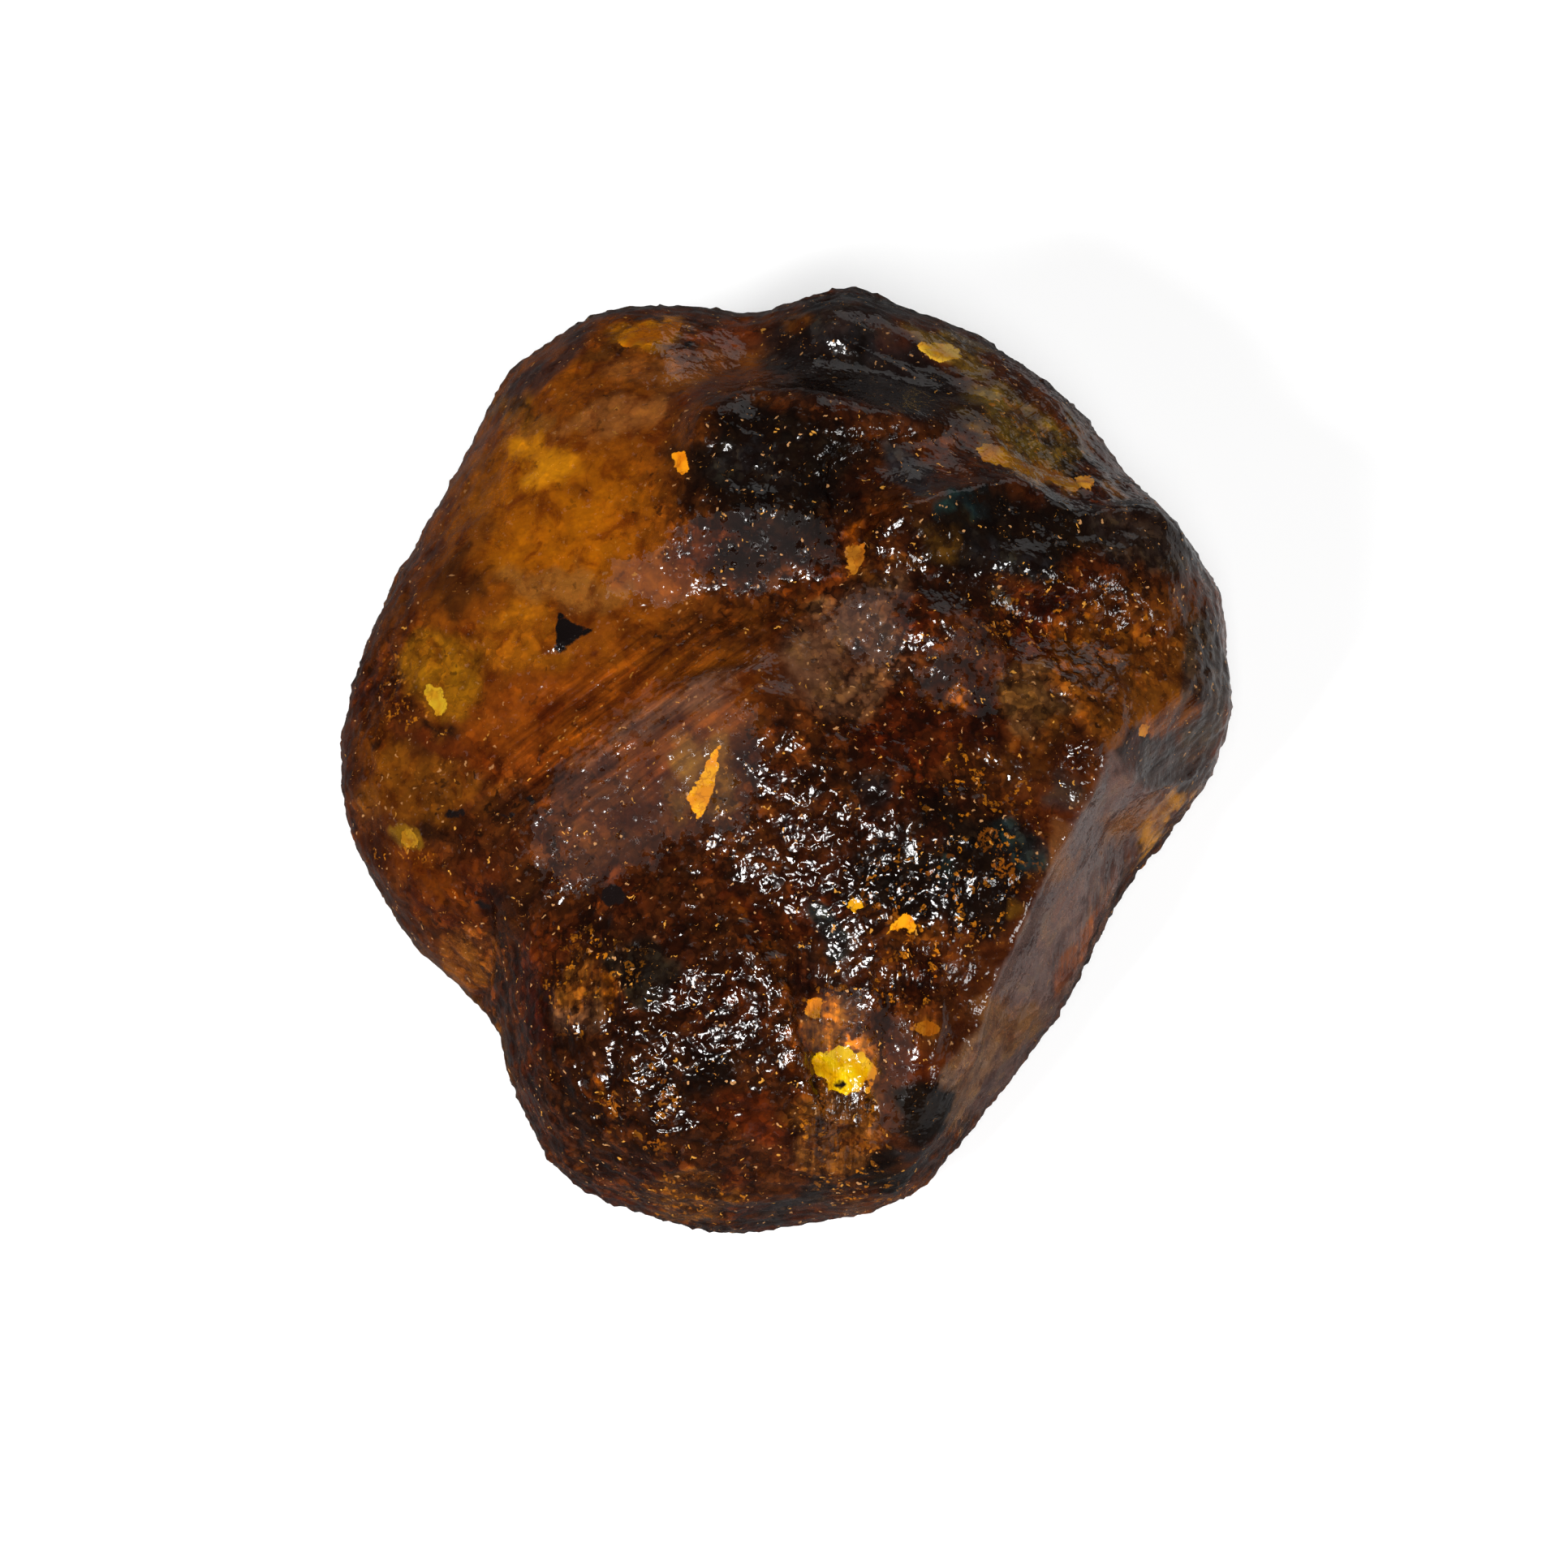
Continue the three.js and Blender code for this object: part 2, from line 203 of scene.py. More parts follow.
# Sharp crests and creases drawn on the face's broad relief: path, rise and half-width.
CREASES = [
    ([[-5.2, 16.2], [-3.9, 18.2], [-1.4, 19.1], [1.2, 19.0], [3.1, 18.5], [5.7, 17.9], [8.9, 17.6]],
     0.40, 1.0),
    ([[8.8, 16.8], [6.4, 16.9], [4.6, 16.3], [2.8, 15.5], [2.5, 14.4], [3.1, 11.8], [3.2, 9.8]],
     -0.35, 0.7),
    ([[4.4, 9.8], [4.8, 11.4], [6.2, 12.7], [8.4, 13.6], [11.8, 14.3], [13.4, 13.6], [15.0, 12.5],
      [17.7, 13.0], [19.0, 13.0], [20.6, 12.0], [22.2, 10.6]], 0.50, 1.1),
    ([[3.0, 7.9], [4.2, 9.0], [5.9, 10.2], [9.2, 10.0]], 0.30, 0.8),
    ([[6.2, 8.2], [7.8, 7.5], [10.2, 5.8], [12.1, 5.0], [15.0, 4.0], [16.3, 2.1], [17.2, 0.2]], 0.35, 0.9),
    ([[17.0, 0.2], [15.9, -1.4], [14.2, -3.9], [12.9, -6.4], [11.6, -9.2], [10.4, -12.0], [9.5, -15.2],
      [8.7, -18.6]], 0.45, 1.0),
    ([[17.2, -0.6], [18.9, -1.5], [21.4, -0.8], [22.5, 1.0]], 0.30, 0.8),
    ([[-15.4, -5.8], [-11.8, -2.0], [-8.4, 1.4], [-4.4, 3.9], [0.4, 4.8]], 0.32, 1.0),
    ([[-13.0, -5.4], [-9.6, -1.6], [-6.2, 1.2], [-2.4, 3.0], [1.4, 3.4]], 0.22, 0.8),
    ([[-9.6, 3.2], [-6.0, 5.4], [-2.0, 6.6], [1.6, 7.4]], 0.20, 0.8),
    ([[-6.4, -2.6], [-5.8, 0.4], [-4.2, 2.4]], 0.20, 0.7),
    ([[-2.4, 1.6], [-2.6, -0.8], [-3.8, -3.6]], 0.18, 0.6),
    ([[-15.6, -6.6], [-15.5, -9.6], [-15.9, -12.2], [-16.8, -13.4]], -0.45, 0.8),
    ([[-3.4, -8.2], [-1.8, -9.6], [-0.4, -11.4], [0.5, -14.4], [1.4, -17.4], [2.3, -20.6]], 0.38, 0.6),
    ([[-2.4, -9.4], [-1.2, -11.0], [-0.4, -14.0], [0.4, -17.6], [1.0, -20.6]], -0.25, 0.5),
    ([[-4.2, -6.8], [-2.6, -8.0], [-1.0, -9.4]], 0.22, 0.5),
    ([[4.8, -9.4], [5.7, -11.7], [5.2, -16.2], [4.0, -19.6]], 0.18, 0.6),
    ([[4.0, -10.4], [4.6, -12.4], [4.4, -13.4]], -0.22, 0.5),
    ([[1.2, -10.6], [1.6, -12.6]], 0.18, 0.5),
    ([[7.4, -9.6], [8.0, -12.4], [7.4, -16.0]], 0.20, 0.6),
    ([[-12.6, -10.0], [-10.8, -13.4], [-10.6, -17.2], [-9.2, -21.0]], 0.22, 0.8),
    ([[-9.0, -9.4], [-8.6, -12.0], [-9.4, -14.6]], -0.20, 0.6),
    ([[1.6, 23.2], [3.2, 22.0], [6.4, 20.6], [9.4, 19.4]], 0.28, 0.8),
    ([[10.2, 17.4], [12.4, 15.4], [15.4, 14.2], [17.4, 14.4]], 0.25, 0.6),
    ([[-3.8, 12.4], [-1.0, 13.0], [2.2, 12.4]], 0.50, 2.0),
    ([[-9.0, -5.0], [-6.9, -1.8], [-6.0, 1.0], [-4.4, 3.6], [-1.6, 5.2]], 0.30, 1.4),
]


def creased(u, v):
    rise = np.zeros(len(u))
    for path, height, half_width in CREASES:
        distance, along = path_distance(u, v, path)
        taper = smoothstep(np.minimum(along, 1 - along), -0.02, 0.2)
        rise += height * taper * np.clip(1 - distance / half_width, 0, 1) ** 1.6
    return rise


# Zones of the face: centre, half-widths, turn and weight. First where the skin is granular, worn smooth,
# wet with glints, and dry and matt.
GRANULAR = [
    ([-6.5, -14.0], [8, 9], 0, 0.8),
    ([4.0, -4.0], [7, 6], 0, 0.8),
    ([-0.8, 13.6], [5.5, 4.5], 0, 0.7),
    ([13.0, 8.6], [8, 4], 0, 0.6),
    ([8.0, -13.0], [4, 7], 0, 0.5),
]
SMOOTH = [
    ([13.8, -8.5], [2.8, 9.5], -27, 1.0),
    ([4.5, 20.6], [5, 1.8], -15, 0.3),
    ([-4.4, 0.2], [2.4, 3.6], -15, 0.8),
    ([-8.6, -1.0], [3.4, 2.0], 38, 0.6),
    ([-12.0, 12.0], [7, 9], 0, 0.7),
    ([19.5, -1.0], [3, 3], 0, 0.6),
]
WET = [
    ([3.4, -1.2], [2.6, 1.8], 0, 0.9),
    ([2.6, -5.4], [2.5, 2.6], 0, 1.0),
    ([0.2, -6.8], [1.8, 1.4], 0, 0.8),
    ([-4.8, -8.0], [1.8, 1.8], 0, 1.0),
    ([-5.0, -11.4], [2.2, 1.6], 0, 1.0),
    ([-7.4, -14.4], [3.0, 2.6], -40, 1.1),
    ([-4.0, -15.6], [2.0, 2.0], 0, 1.0),
    ([-7.2, -18.4], [3.2, 2.8], 20, 1.1),
    ([7.0, 1.4], [1.6, 0.8], 40, 0.8),
    ([-11.4, -9.4], [1.8, 1.4], 0, 1.0),
    ([15.6, -0.5], [1.4, 1.6], -35, 1.2),
]
DRY = [
    ([-4.4, 0.0], [3.4, 4.4], -10, 0.8),
    ([-9.4, -3.2], [4.6, 3.4], 35, 0.8),
    ([-8.0, 1.6], [5.0, 1.6], 36, 0.5),
    ([4.3, 6.9], [2.6, 2.0], 0, 0.75),
    ([-6.8, 9.6], [2.4, 1.5], 20, 0.9),
    ([-1.4, 11.0], [4.6, 2.2], 0, 0.75),
    ([9.4, 4.6], [2.6, 2.4], 0, 0.65),
    ([5.3, -15.6], [1.4, 3.8], 0, 0.75),
    ([2.9, -13.6], [2.2, 2.0], 0, 0.7),
]
# Where fibres run up the face, where golden flakes lie, and where fibres run with the folds.
UPRIGHT_FIBRES = [
    ([2.4, -19.0], [2.8, 3.4], 0, 1.0),
    ([1.4, -13.0], [1.6, 3.6], 10, 0.9),
    ([-10.0, -11.8], [2.4, 2.2], 0, 1.0),
    ([6.6, -12.0], [1.6, 3.0], 0, 0.8),
    ([16.0, -9.0], [1.4, 5.0], -27, 0.9),
]
GOLDEN_FLAKES = [
    ([10.4, -2.6], [3.2, 3.6], 0, 1.0),
    ([8.4, -6.4], [4.4, 3.0], 0, 0.8),
    ([-10.0, -11.4], [2.8, 2.6], 0, 1.0),
    ([6.4, -10.4], [2.4, 2.4], 0, 1.0),
    ([-7.6, -17.8], [2.2, 2.4], 0, 0.9),
    ([-4.8, -22.6], [3.4, 1.6], 0, 0.9),
    ([-19.0, 4.0], [2.6, 2.8], 0, 0.8),
    ([13.0, 16.6], [3.4, 2.4], -30, 0.9),
    ([3.0, -19.4], [2.6, 3.4], 0, 0.9),
    ([2.6, -12.8], [1.8, 1.4], 0, 1.0),
    ([14.6, 7.4], [5.0, 2.6], 0, 0.7),
    ([5.4, -22.4], [2.4, 1.0], 0, 0.9),
    ([-19.8, -4.6], [2.0, 1.6], 0, 0.9),
]
FOLD_FIBRES = [
    ([-8.0, 2.0], [9.0, 4.0], 36, 1.0),
    ([-14.0, -9.0], [1.6, 4.0], 0, 0.7),
    ([-12.0, -20.0], [6.0, 1.4], -50, 0.7),
    ([14.0, 18.0], [4.0, 2.0], -38, 0.8),
    ([20.6, 1.0], [2.0, 3.0], 0, 0.8),
]


ZONE_WARP = 0.6


def zones(shapes):
    """The greatest weight of a list of zones at every vertex, with ragged edges."""
    weight = np.zeros(len(u))
    for at, size, turn, strength in shapes:
        away = patch_radius(u + warp_u * ZONE_WARP, v + warp_v * ZONE_WARP, at, size, turn)
        near = np.exp(-away ** 2)
        weight = np.maximum(weight, strength * smoothstep(near, 0.25, 0.6))
    return facing * weight


# How granular the skin is: more so on the back than on the face.
BACK_GRAIN = 0.75
FACE_GRAIN = 0.42

grain = BACK_GRAIN + (FACE_GRAIN - BACK_GRAIN) * facing
for at, size, turn, weight in GRANULAR:
    grain += facing * weight * np.exp(-patch_radius(u, v, at, size, turn) ** 2)
for at, size, turn, weight in SMOOTH:
    grain *= 1 - facing * weight * np.exp(-patch_radius(u, v, at, size, turn) ** 2)
grain = np.clip(grain * (0.8 + 0.55 * perlin(points, 4.5, 15.0)), 0.04, 1.2)

# Flow folds: long shallow ripples that run up and to the right over the left of the face.
FLOW_TURN = 36

across_flow = v * math.cos(math.radians(FLOW_TURN)) - u * math.sin(math.radians(FLOW_TURN))
flow_place = np.stack([u * 0.12 + v * 0.09, across_flow * 0.62, w * 0.1], 1)
flow = 1 - np.abs(perlin(flow_place, 1.0, 7.3)) * 2
flow_weight = facing * np.exp(-patch_radius(u, v, [-7.0, 2.0], [11, 6], FLOW_TURN) ** 2)

dry = zones(DRY)
wet = zones(WET) * (1 - dry)
upright_fibres = zones(UPRIGHT_FIBRES)
fold_fibres = zones(FOLD_FIBRES)
golden_flakes = np.maximum(zones(GOLDEN_FLAKES), 0.7 * smoothstep(0.3 - facing, 0, 0.3))

lumps = perlin(points, 3.1, 3.7) * 0.30 + perlin(points, 1.7, 11.1) * 0.26
near, second = cells(points, 1.15, 5.5)
beads = (second - near) ** 0.7
fine_near, _ = cells(points, 0.62, 2.2)
pit_near, _ = cells(points, 3.4, 9.1)
pits = smoothstep(0.19 + 0.07 * perlin(points, 2.6, 4.4) - pit_near, 0, 0.12)

FOLD_RISE = 0.13
BEAD_RISE = 0.30
PIT_DEPTH = 0.32

relief = facing * creased(u, v)
relief += flow_weight * FOLD_RISE * np.clip(flow, 0, 1)
relief += (0.35 + 0.25 * grain + 0.3 * wet) * lumps
relief += grain * BEAD_RISE * (beads - 0.4)
relief += (0.10 + 0.18 * grain + 0.08 * (1 - facing)) * (0.45 - fine_near)
relief -= PIT_DEPTH * pits * (0.35 + 0.65 * grain)

# Hollows of the skin, where the colour is darkened as dark crust and painted shade, from 0 on the bumps to 1
# in the hollows.
hollows = smoothstep(0.55 - beads, 0, 0.5) * 0.6 + smoothstep(fine_near - 0.4, 0, 0.3) * 0.3 + 0.8 * pits

# The underside that the nodule rests on stays flat: relief only ever cuts into it.
resting = smoothstep(-normals[:, 2], 0.75, 0.97) * smoothstep(-points[:, 2], -1.2, -0.2)
relief = np.where(resting > 0.5, np.minimum(relief, 0), relief)
points = points + normals * relief[:, None]
points[:, 2] = np.maximum(points[:, 2], 0)
normals = vertex_normals(points, triangles)

# ---------------------------------------------------------------- colour of the skin
BROWN = linear(66, 30, 8)
DARK_BROWN = linear(28, 12, 5)
RED_BROWN = linear(70, 22, 3)
HONEY = linear(132, 66, 8)
GOLD = linear(188, 102, 4)
TAN = linear(168, 102, 36)
GREY_TAN = linear(100, 66, 46)
OLIVE = linear(108, 70, 14)
SLATE = linear(29, 27, 28)
BLACK = linear(11, 8, 6)
TEAL = linear(20, 36, 38)
YELLOW = linear(255, 190, 8)
EMBER = linear(44, 9, 2)
ORANGE = linear(160, 82, 9)
PURPLE_BROWN = linear(48, 28, 24)
BRONZE = linear(92, 50, 11)

# Patches of the face: centre, half-widths, turn, colour and strength. Later ones lie over earlier ones.
PATCHES = [
    # The honey and gold of the upper left.
    ([-10.0, 12.0], [12.0, 12.5], 0, HONEY, 0.95),
    ([-8.0, 14.6], [4.0, 5.0], 0, ORANGE, 0.7),
    ([-12.0, 13.0], [5.2, 4.6], 0, GOLD, 0.75),
    ([-9.5, 16.4], [4.0, 1.0], 12, ORANGE, 0.7),
    ([-12.9, 15.8], [2.4, 1.3], -20, linear(236, 146, 14), 0.95),
    ([-11.6, 10.8], [3.6, 2.4], -10, GOLD, 0.6),
    ([-12.2, 9.0], [3.4, 1.1], -12, TAN, 0.95),
    ([-9.4, 8.4], [2.0, 0.8], -10, TAN, 0.6),
    ([-8.4, 18.4], [3.8, 0.9], 20, linear(176, 108, 52), 0.6),
    ([-6.0, 21.0], [3.8, 0.9], 8, linear(186, 106, 40), 0.7),
    ([-2.0, 21.6], [2.6, 0.9], 0, linear(150, 80, 24), 0.7),
    ([-11.8, 20.0], [2.4, 0.8], 25, ORANGE, 0.8),
    ([-9.6, 21.6], [1.9, 0.6], 20, BRONZE, 0.9),
    ([-7.1, 22.8], [1.9, 0.8], 18, linear(222, 136, 8), 0.95),
    ([-5.0, 22.1], [0.9, 0.5], 0, DARK_BROWN, 0.8),
    ([-3.2, 22.6], [1.9, 0.9], 0, linear(136, 62, 18), 0.85),
    ([-12.6, 21.2], [3.2, 0.8], 34, PURPLE_BROWN, 0.9),
    ([-15.0, 19.0], [1.4, 1.1], 0, OLIVE, 0.6),
    ([-14.4, 18.9], [0.8, 0.5], 0, DARK_BROWN, 0.8),
    ([-13.8, 17.7], [1.6, 0.6], 0, TAN, 0.6),
    ([-10.1, 14.0], [0.8, 0.5], 30, RED_BROWN, 0.7),
    ([-4.4, 17.4], [2.0, 2.4], -20, BROWN, 0.7),
    ([-3.9, 19.4], [1.6, 0.6], 15, RED_BROWN, 0.7),
    ([-16.8, 12.8], [1.5, 3.4], -20, linear(128, 68, 14), 0.7),
    ([-17.2, 9.4], [1.6, 1.7], 0, DARK_BROWN, 0.8),
    ([-19.8, 9.0], [1.5, 3.8], -20, BROWN, 0.8),
    ([-13.6, 6.4], [2.4, 2.2], 0, linear(186, 104, 12), 0.95),
    ([-17.6, 4.8], [2.4, 2.0], 0, linear(180, 112, 12), 0.85),
    ([-17.0, 1.9], [1.6, 0.5], 0, DARK_BROWN, 0.9),
    ([-16.8, 0.8], [2.4, 0.8], 0, RED_BROWN, 0.6),
    # The left and the folds.
    ([-11.0, 2.6], [6.0, 3.4], 20, linear(120, 54, 6), 0.75),
    ([-7.6, 6.0], [4.0, 1.4], 10, ORANGE, 0.55),
    ([-3.0, 7.8], [4.0, 2.0], 10, BROWN, 0.75),
    ([-6.0, 2.4], [6.0, 0.9], 28, GREY_TAN, 0.65),
    ([-8.8, -0.2], [4.6, 0.7], 38, PURPLE_BROWN, 0.5),
    ([-21.4, 0.9], [1.6, 2.4], 0, linear(94, 46, 4), 0.8),
    ([-21.4, 0.7], [0.4, 0.4], 0, DARK_BROWN, 0.8),
    ([-18.4, -1.4], [4.0, 1.4], 0, linear(120, 66, 10), 0.75),
    ([-19.8, -4.0], [1.0, 0.9], 0, linear(170, 120, 24), 0.8),
    ([-18.0, -3.6], [1.2, 0.6], 0, DARK_BROWN, 0.8),
    ([-18.4, -6.6], [3.0, 1.4], -30, linear(98, 44, 4), 0.8),
    ([-21.0, -5.0], [1.0, 2.4], 15, BROWN, 0.7),
    ([-16.3, -10.4], [1.1, 2.2], -25, linear(150, 82, 20), 0.8),
    ([-14.0, -7.4], [1.8, 2.0], 0, DARK_BROWN, 0.6),
    ([-10.4, -3.6], [3.4, 1.7], 30, linear(74, 36, 12), 0.8),
    ([-5.6, -4.0], [3.0, 2.0], 0, BROWN, 0.7),
    # The brow, the trough above it and the peak.
    ([-1.2, 14.4], [5.2, 4.8], 0, DARK_BROWN, 0.95),
    ([-0.8, 15.4], [4.4, 3.4], 0, BLACK, 0.9),
    ([-2.2, 15.2], [2.0, 1.2], 0, SLATE, 0.7),
    ([-0.6, 10.8], [3.8, 1.6], 0, linear(24, 8, 4), 0.92),
    ([-5.0, 10.6], [2.0, 1.2], 30, linear(66, 26, 5), 0.85),
    ([3.6, 20.8], [6.4, 2.8], -14, linear(22, 18, 18), 0.95),
    ([3.6, 23.4], [3.0, 1.8], 0, SLATE, 0.8),
    ([0.4, 23.0], [1.0, 0.7], 0, BRONZE, 0.8),
    ([3.4, 21.4], [0.9, 0.7], 0, BLACK, 0.8),
    ([5.2, 22.6], [2.0, 0.5], -35, PURPLE_BROWN, 0.7),
    ([9.2, 18.0], [2.6, 1.5], -10, DARK_BROWN, 0.8),
    ([4.8, 16.2], [2.2, 0.8], 20, DARK_BROWN, 0.8),
    ([6.6, 15.2], [2.2, 0.9], -30, linear(40, 42, 46), 0.85),
    # The olive window and the upper right rim.
    ([8.8, 22.2], [2.4, 0.9], -30, linear(148, 112, 44), 0.85),
    ([12.9, 17.4], [3.8, 2.1], -35, linear(108, 82, 22), 0.95),
    ([12.4, 15.7], [3.2, 0.6], -24, linear(156, 108, 16), 0.9),
    ([13.2, 18.2], [2.4, 0.4], -38, GREY_TAN, 0.5),
    ([15.8, 17.6], [1.0, 1.4], 20, BRONZE, 0.8),
    ([16.3, 15.8], [0.7, 0.7], 0, BLACK, 0.8),
    ([18.2, 13.9], [1.4, 0.4], -50, linear(160, 104, 24), 0.8),
    ([15.4, 13.6], [2.6, 0.6], -10, PURPLE_BROWN, 0.6),
    # The shoulder and its foot.
    ([11.4, 11.9], [6.0, 2.4], 0, BLACK, 0.97),
    ([8.9, 13.3], [1.6, 0.6], 15, TEAL, 0.9),
    ([10.2, 12.4], [0.9, 0.5], 0, TEAL, 0.7),
    ([12.0, 10.8], [2.4, 0.8], 0, SLATE, 0.8),
    ([7.6, 11.4], [1.2, 0.7], -20, OLIVE, 0.25),
    ([19.0, 11.6], [3.6, 1.8], -15, linear(34, 28, 25), 0.9),
    ([9.4, 8.4], [3.6, 1.4], -8, DARK_BROWN, 0.9),
    ([10.9, 8.2], [0.6, 0.4], -20, linear(104, 92, 70), 0.7),
    ([14.2, 8.0], [2.4, 1.6], 0, RED_BROWN, 0.7),
    ([5.6, 9.9], [1.8, 0.3], 0, TAN, 0.4),
    # The right.
    ([17.6, 4.6], [4.6, 4.0], 0, linear(124, 68, 14), 0.8),
    ([18.8, 1.5], [0.5, 0.5], 0, GOLD, 0.7),
    ([18.4, 0.6], [1.4, 0.5], 0, DARK_BROWN, 0.9),
    ([20.6, 7.4], [1.2, 1.8], 0, BRONZE, 0.5),
    ([22.2, 4.2], [1.2, 4.4], 0, linear(54, 44, 38), 0.85),
    ([20.4, -0.4], [2.4, 1.6], -10, linear(44, 36, 34), 0.8),
    # The grey-brown middle, whose grey is partly a painted sheen, the leaf and the red hollow.
    ([3.2, 5.2], [3.6, 2.6], 0, linear(112, 74, 50), 0.85),
    ([3.6, 8.2], [2.8, 1.0], 10, linear(112, 74, 50), 0.75),
    ([3.6, 11.6], [0.5, 1.6], 0, ORANGE, 0.85),
    ([4.7, 11.3], [0.7, 0.8], 0, BRONZE, 0.7),
    ([6.8, 1.4], [3.4, 1.8], 0, RED_BROWN, 0.7),
    ([9.8, 2.8], [1.2, 1.8], 15, linear(28, 5, 1), 0.95),
    ([8.3, 3.9], [0.9, 0.6], 30, linear(176, 96, 12), 0.9),
    ([13.0, 3.4], [1.6, 1.4], 0, linear(120, 80, 42), 0.8),
    ([12.4, 0.6], [1.8, 1.6], 0, BRONZE, 0.6),
    ([-4.2, -0.8], [1.3, 2.4], -14, linear(116, 74, 24), 0.9),
    # The plateau and the dark right of it.
    ([3.0, -3.6], [3.2, 4.0], 0, DARK_BROWN, 0.5),
    ([4.4, -1.4], [1.4, 1.2], 0, SLATE, 0.7),
    ([4.2, -6.0], [1.4, 1.6], 0, BLACK, 0.8),
    ([-1.0, -4.6], [3.0, 2.2], 0, BROWN, 0.7),
    ([-1.8, -7.6], [1.6, 0.9], -40, RED_BROWN, 0.7),
    ([8.4, -5.4], [4.2, 3.8], 20, BLACK, 0.95),
    ([7.2, -3.6], [1.6, 0.8], 0, linear(40, 16, 6), 0.9),
    ([11.8, -4.4], [1.4, 1.2], 0, TEAL, 0.85),
    ([7.8, -5.8], [0.7, 0.6], 0, TEAL, 0.8),
    ([14.2, -1.6], [1.2, 1.2], 0, TEAL, 0.5),
    ([11.4, -7.2], [0.5, 0.5], 0, OLIVE, 0.8),
    ([2.4, -8.6], [1.9, 0.8], -20, TEAL, 0.85),
    ([6.6, -9.6], [1.4, 1.0], 0, BRONZE, 0.7),
    # The lower lobe.
    ([-6.8, -14.4], [6.6, 6.8], 0, DARK_BROWN, 0.6),
    ([-6.8, -11.0], [1.9, 1.4], 0, linear(26, 26, 22), 0.85),
    ([-10.4, -11.6], [1.4, 2.0], 15, BRONZE, 0.7),
    ([-11.0, -11.4], [0.4, 1.4], 12, TAN, 0.6),
    ([-10.0, -11.6], [0.35, 1.4], 0, TAN, 0.6),
    ([-8.6, -11.6], [0.3, 1.0], 10, GOLD, 0.7),
    ([-10.2, -13.2], [1.2, 0.7], 0, GREY_TAN, 0.6),
    ([-12.6, -13.0], [1.4, 1.6], 0, EMBER, 0.95),
    ([-3.8, -16.0], [1.5, 1.2], 0, BLACK, 0.85),
    ([-1.8, -18.0], [1.6, 1.4], 0, RED_BROWN, 0.7),
    ([-9.2, -17.6], [0.3, 1.6], 10, GOLD, 0.5),
    ([-6.6, -21.4], [1.2, 0.6], 0, EMBER, 0.8),
    ([-4.8, -22.4], [2.4, 1.4], 0, linear(116, 66, 12), 0.85),
    ([0.8, -22.8], [2.4, 1.1], 10, SLATE, 0.85),
    ([4.6, -22.9], [2.0, 0.5], 20, BRONZE, 0.8),
    # The lower trough with the yellow eye, and what lies right of it.
    ([-1.4, -8.6], [1.6, 0.4], -45, ORANGE, 0.6),
    ([0.5, -13.8], [0.4, 3.6], 14, ORANGE, 0.5),
    ([2.6, -19.2], [2.4, 3.0], 0, linear(122, 72, 26), 0.85),
    ([3.2, -14.8], [1.9, 2.6], 0, linear(140, 78, 16), 0.9),
    ([2.9, -14.0], [1.5, 1.4], 0, linear(206, 120, 20), 0.95),
    ([2.6, -11.4], [1.6, 1.2], 0, PURPLE_BROWN, 0.6),
    ([7.0, -12.0], [2.4, 2.6], 0, BROWN, 0.7),
    ([7.1, -13.8], [0.9, 0.6], 0, BRONZE, 0.9),
    ([7.2, -17.9], [1.9, 2.0], 0, BLACK, 0.97),
    ([5.2, -20.9], [1.5, 1.2], 0, BLACK, 0.95),
    ([6.9, -20.4], [0.9, 0.6], 0, SLATE, 0.9),
]

# The plain flank at the lower right: its outline on the face, its tone, which is partly its own lilac-grey
# colour and partly a painted sheen, and its own patches.
FLANK = [[17.0, 0.6], [15.9, -1.4], [14.2, -3.9], [12.9, -6.4], [11.6, -9.2], [10.4, -12.0], [9.5, -15.2],
         [8.7, -18.8], [10.4, -18.6], [13.4, -15.4], [16.2, -10.6], [18.0, -6.4], [19.6, -2.4]]
FLANK_TONE_AND_SHEEN = linear(104, 76, 68)
FLANK_PATCHES = [
    ([9.8, -16.0], [1.5, 3.4], -24, linear(160, 114, 80), 0.95),
    ([14.0, -5.0], [0.9, 1.8], -27, linear(150, 92, 48), 0.75),
    ([11.4, -13.8], [1.9, 1.3], -27, linear(140, 92, 48), 0.85),
    ([15.6, -9.6], [0.6, 3.4], -24, linear(112, 54, 10), 0.9),
    ([17.2, -5.6], [0.8, 2.6], -35, linear(70, 34, 18), 0.8),
    ([18.2, -3.4], [1.9, 1.1], 20, linear(136, 78, 26), 0.9),
    ([20.2, -3.4], [2.4, 0.6], 48, linear(208, 134, 30), 0.9),
]

# The back and the sides, by direction from the centre: bearing, elevation, half-width, colour, strength.
BACK_PATCHES = [
    (20, -5, 34, HONEY, 0.8),
    (60, 15, 26, DARK_BROWN, 0.8),
    (95, -10, 30, BLACK, 0.8),
    (110, 20, 20, OLIVE, 0.7),
    (140, 0, 30, GOLD, 0.7),
    (165, -25, 26, RED_BROWN, 0.7),
    (185, 15, 24, HONEY, 0.7),
    (-150, -15, 28, OLIVE, 0.6),
    (-95, -12, 22, BLACK, 0.7),
    (-60, -15, 22, HONEY, 0.6),
    (-25, -20, 26, DARK_BROWN, 0.7),
    (50, -30, 18, GOLD, 0.7),
    (80, 5, 10, YELLOW, 0.7),
    (150, 28, 12, YELLOW, 0.5),
]

# Where a patch starts and where it is full, in its own half-widths from its centre, counted down.
PATCH_EDGE = (-1.15, -0.7)
BACK_PATCH_EDGE = (-1.15, -0.6)
BACK_WARP = 6
FLANK_WARP = 0.12


def overlay(colour, weight, tone):
    weight = weight[:, None]
    return colour * (1 - weight) + tone * weight


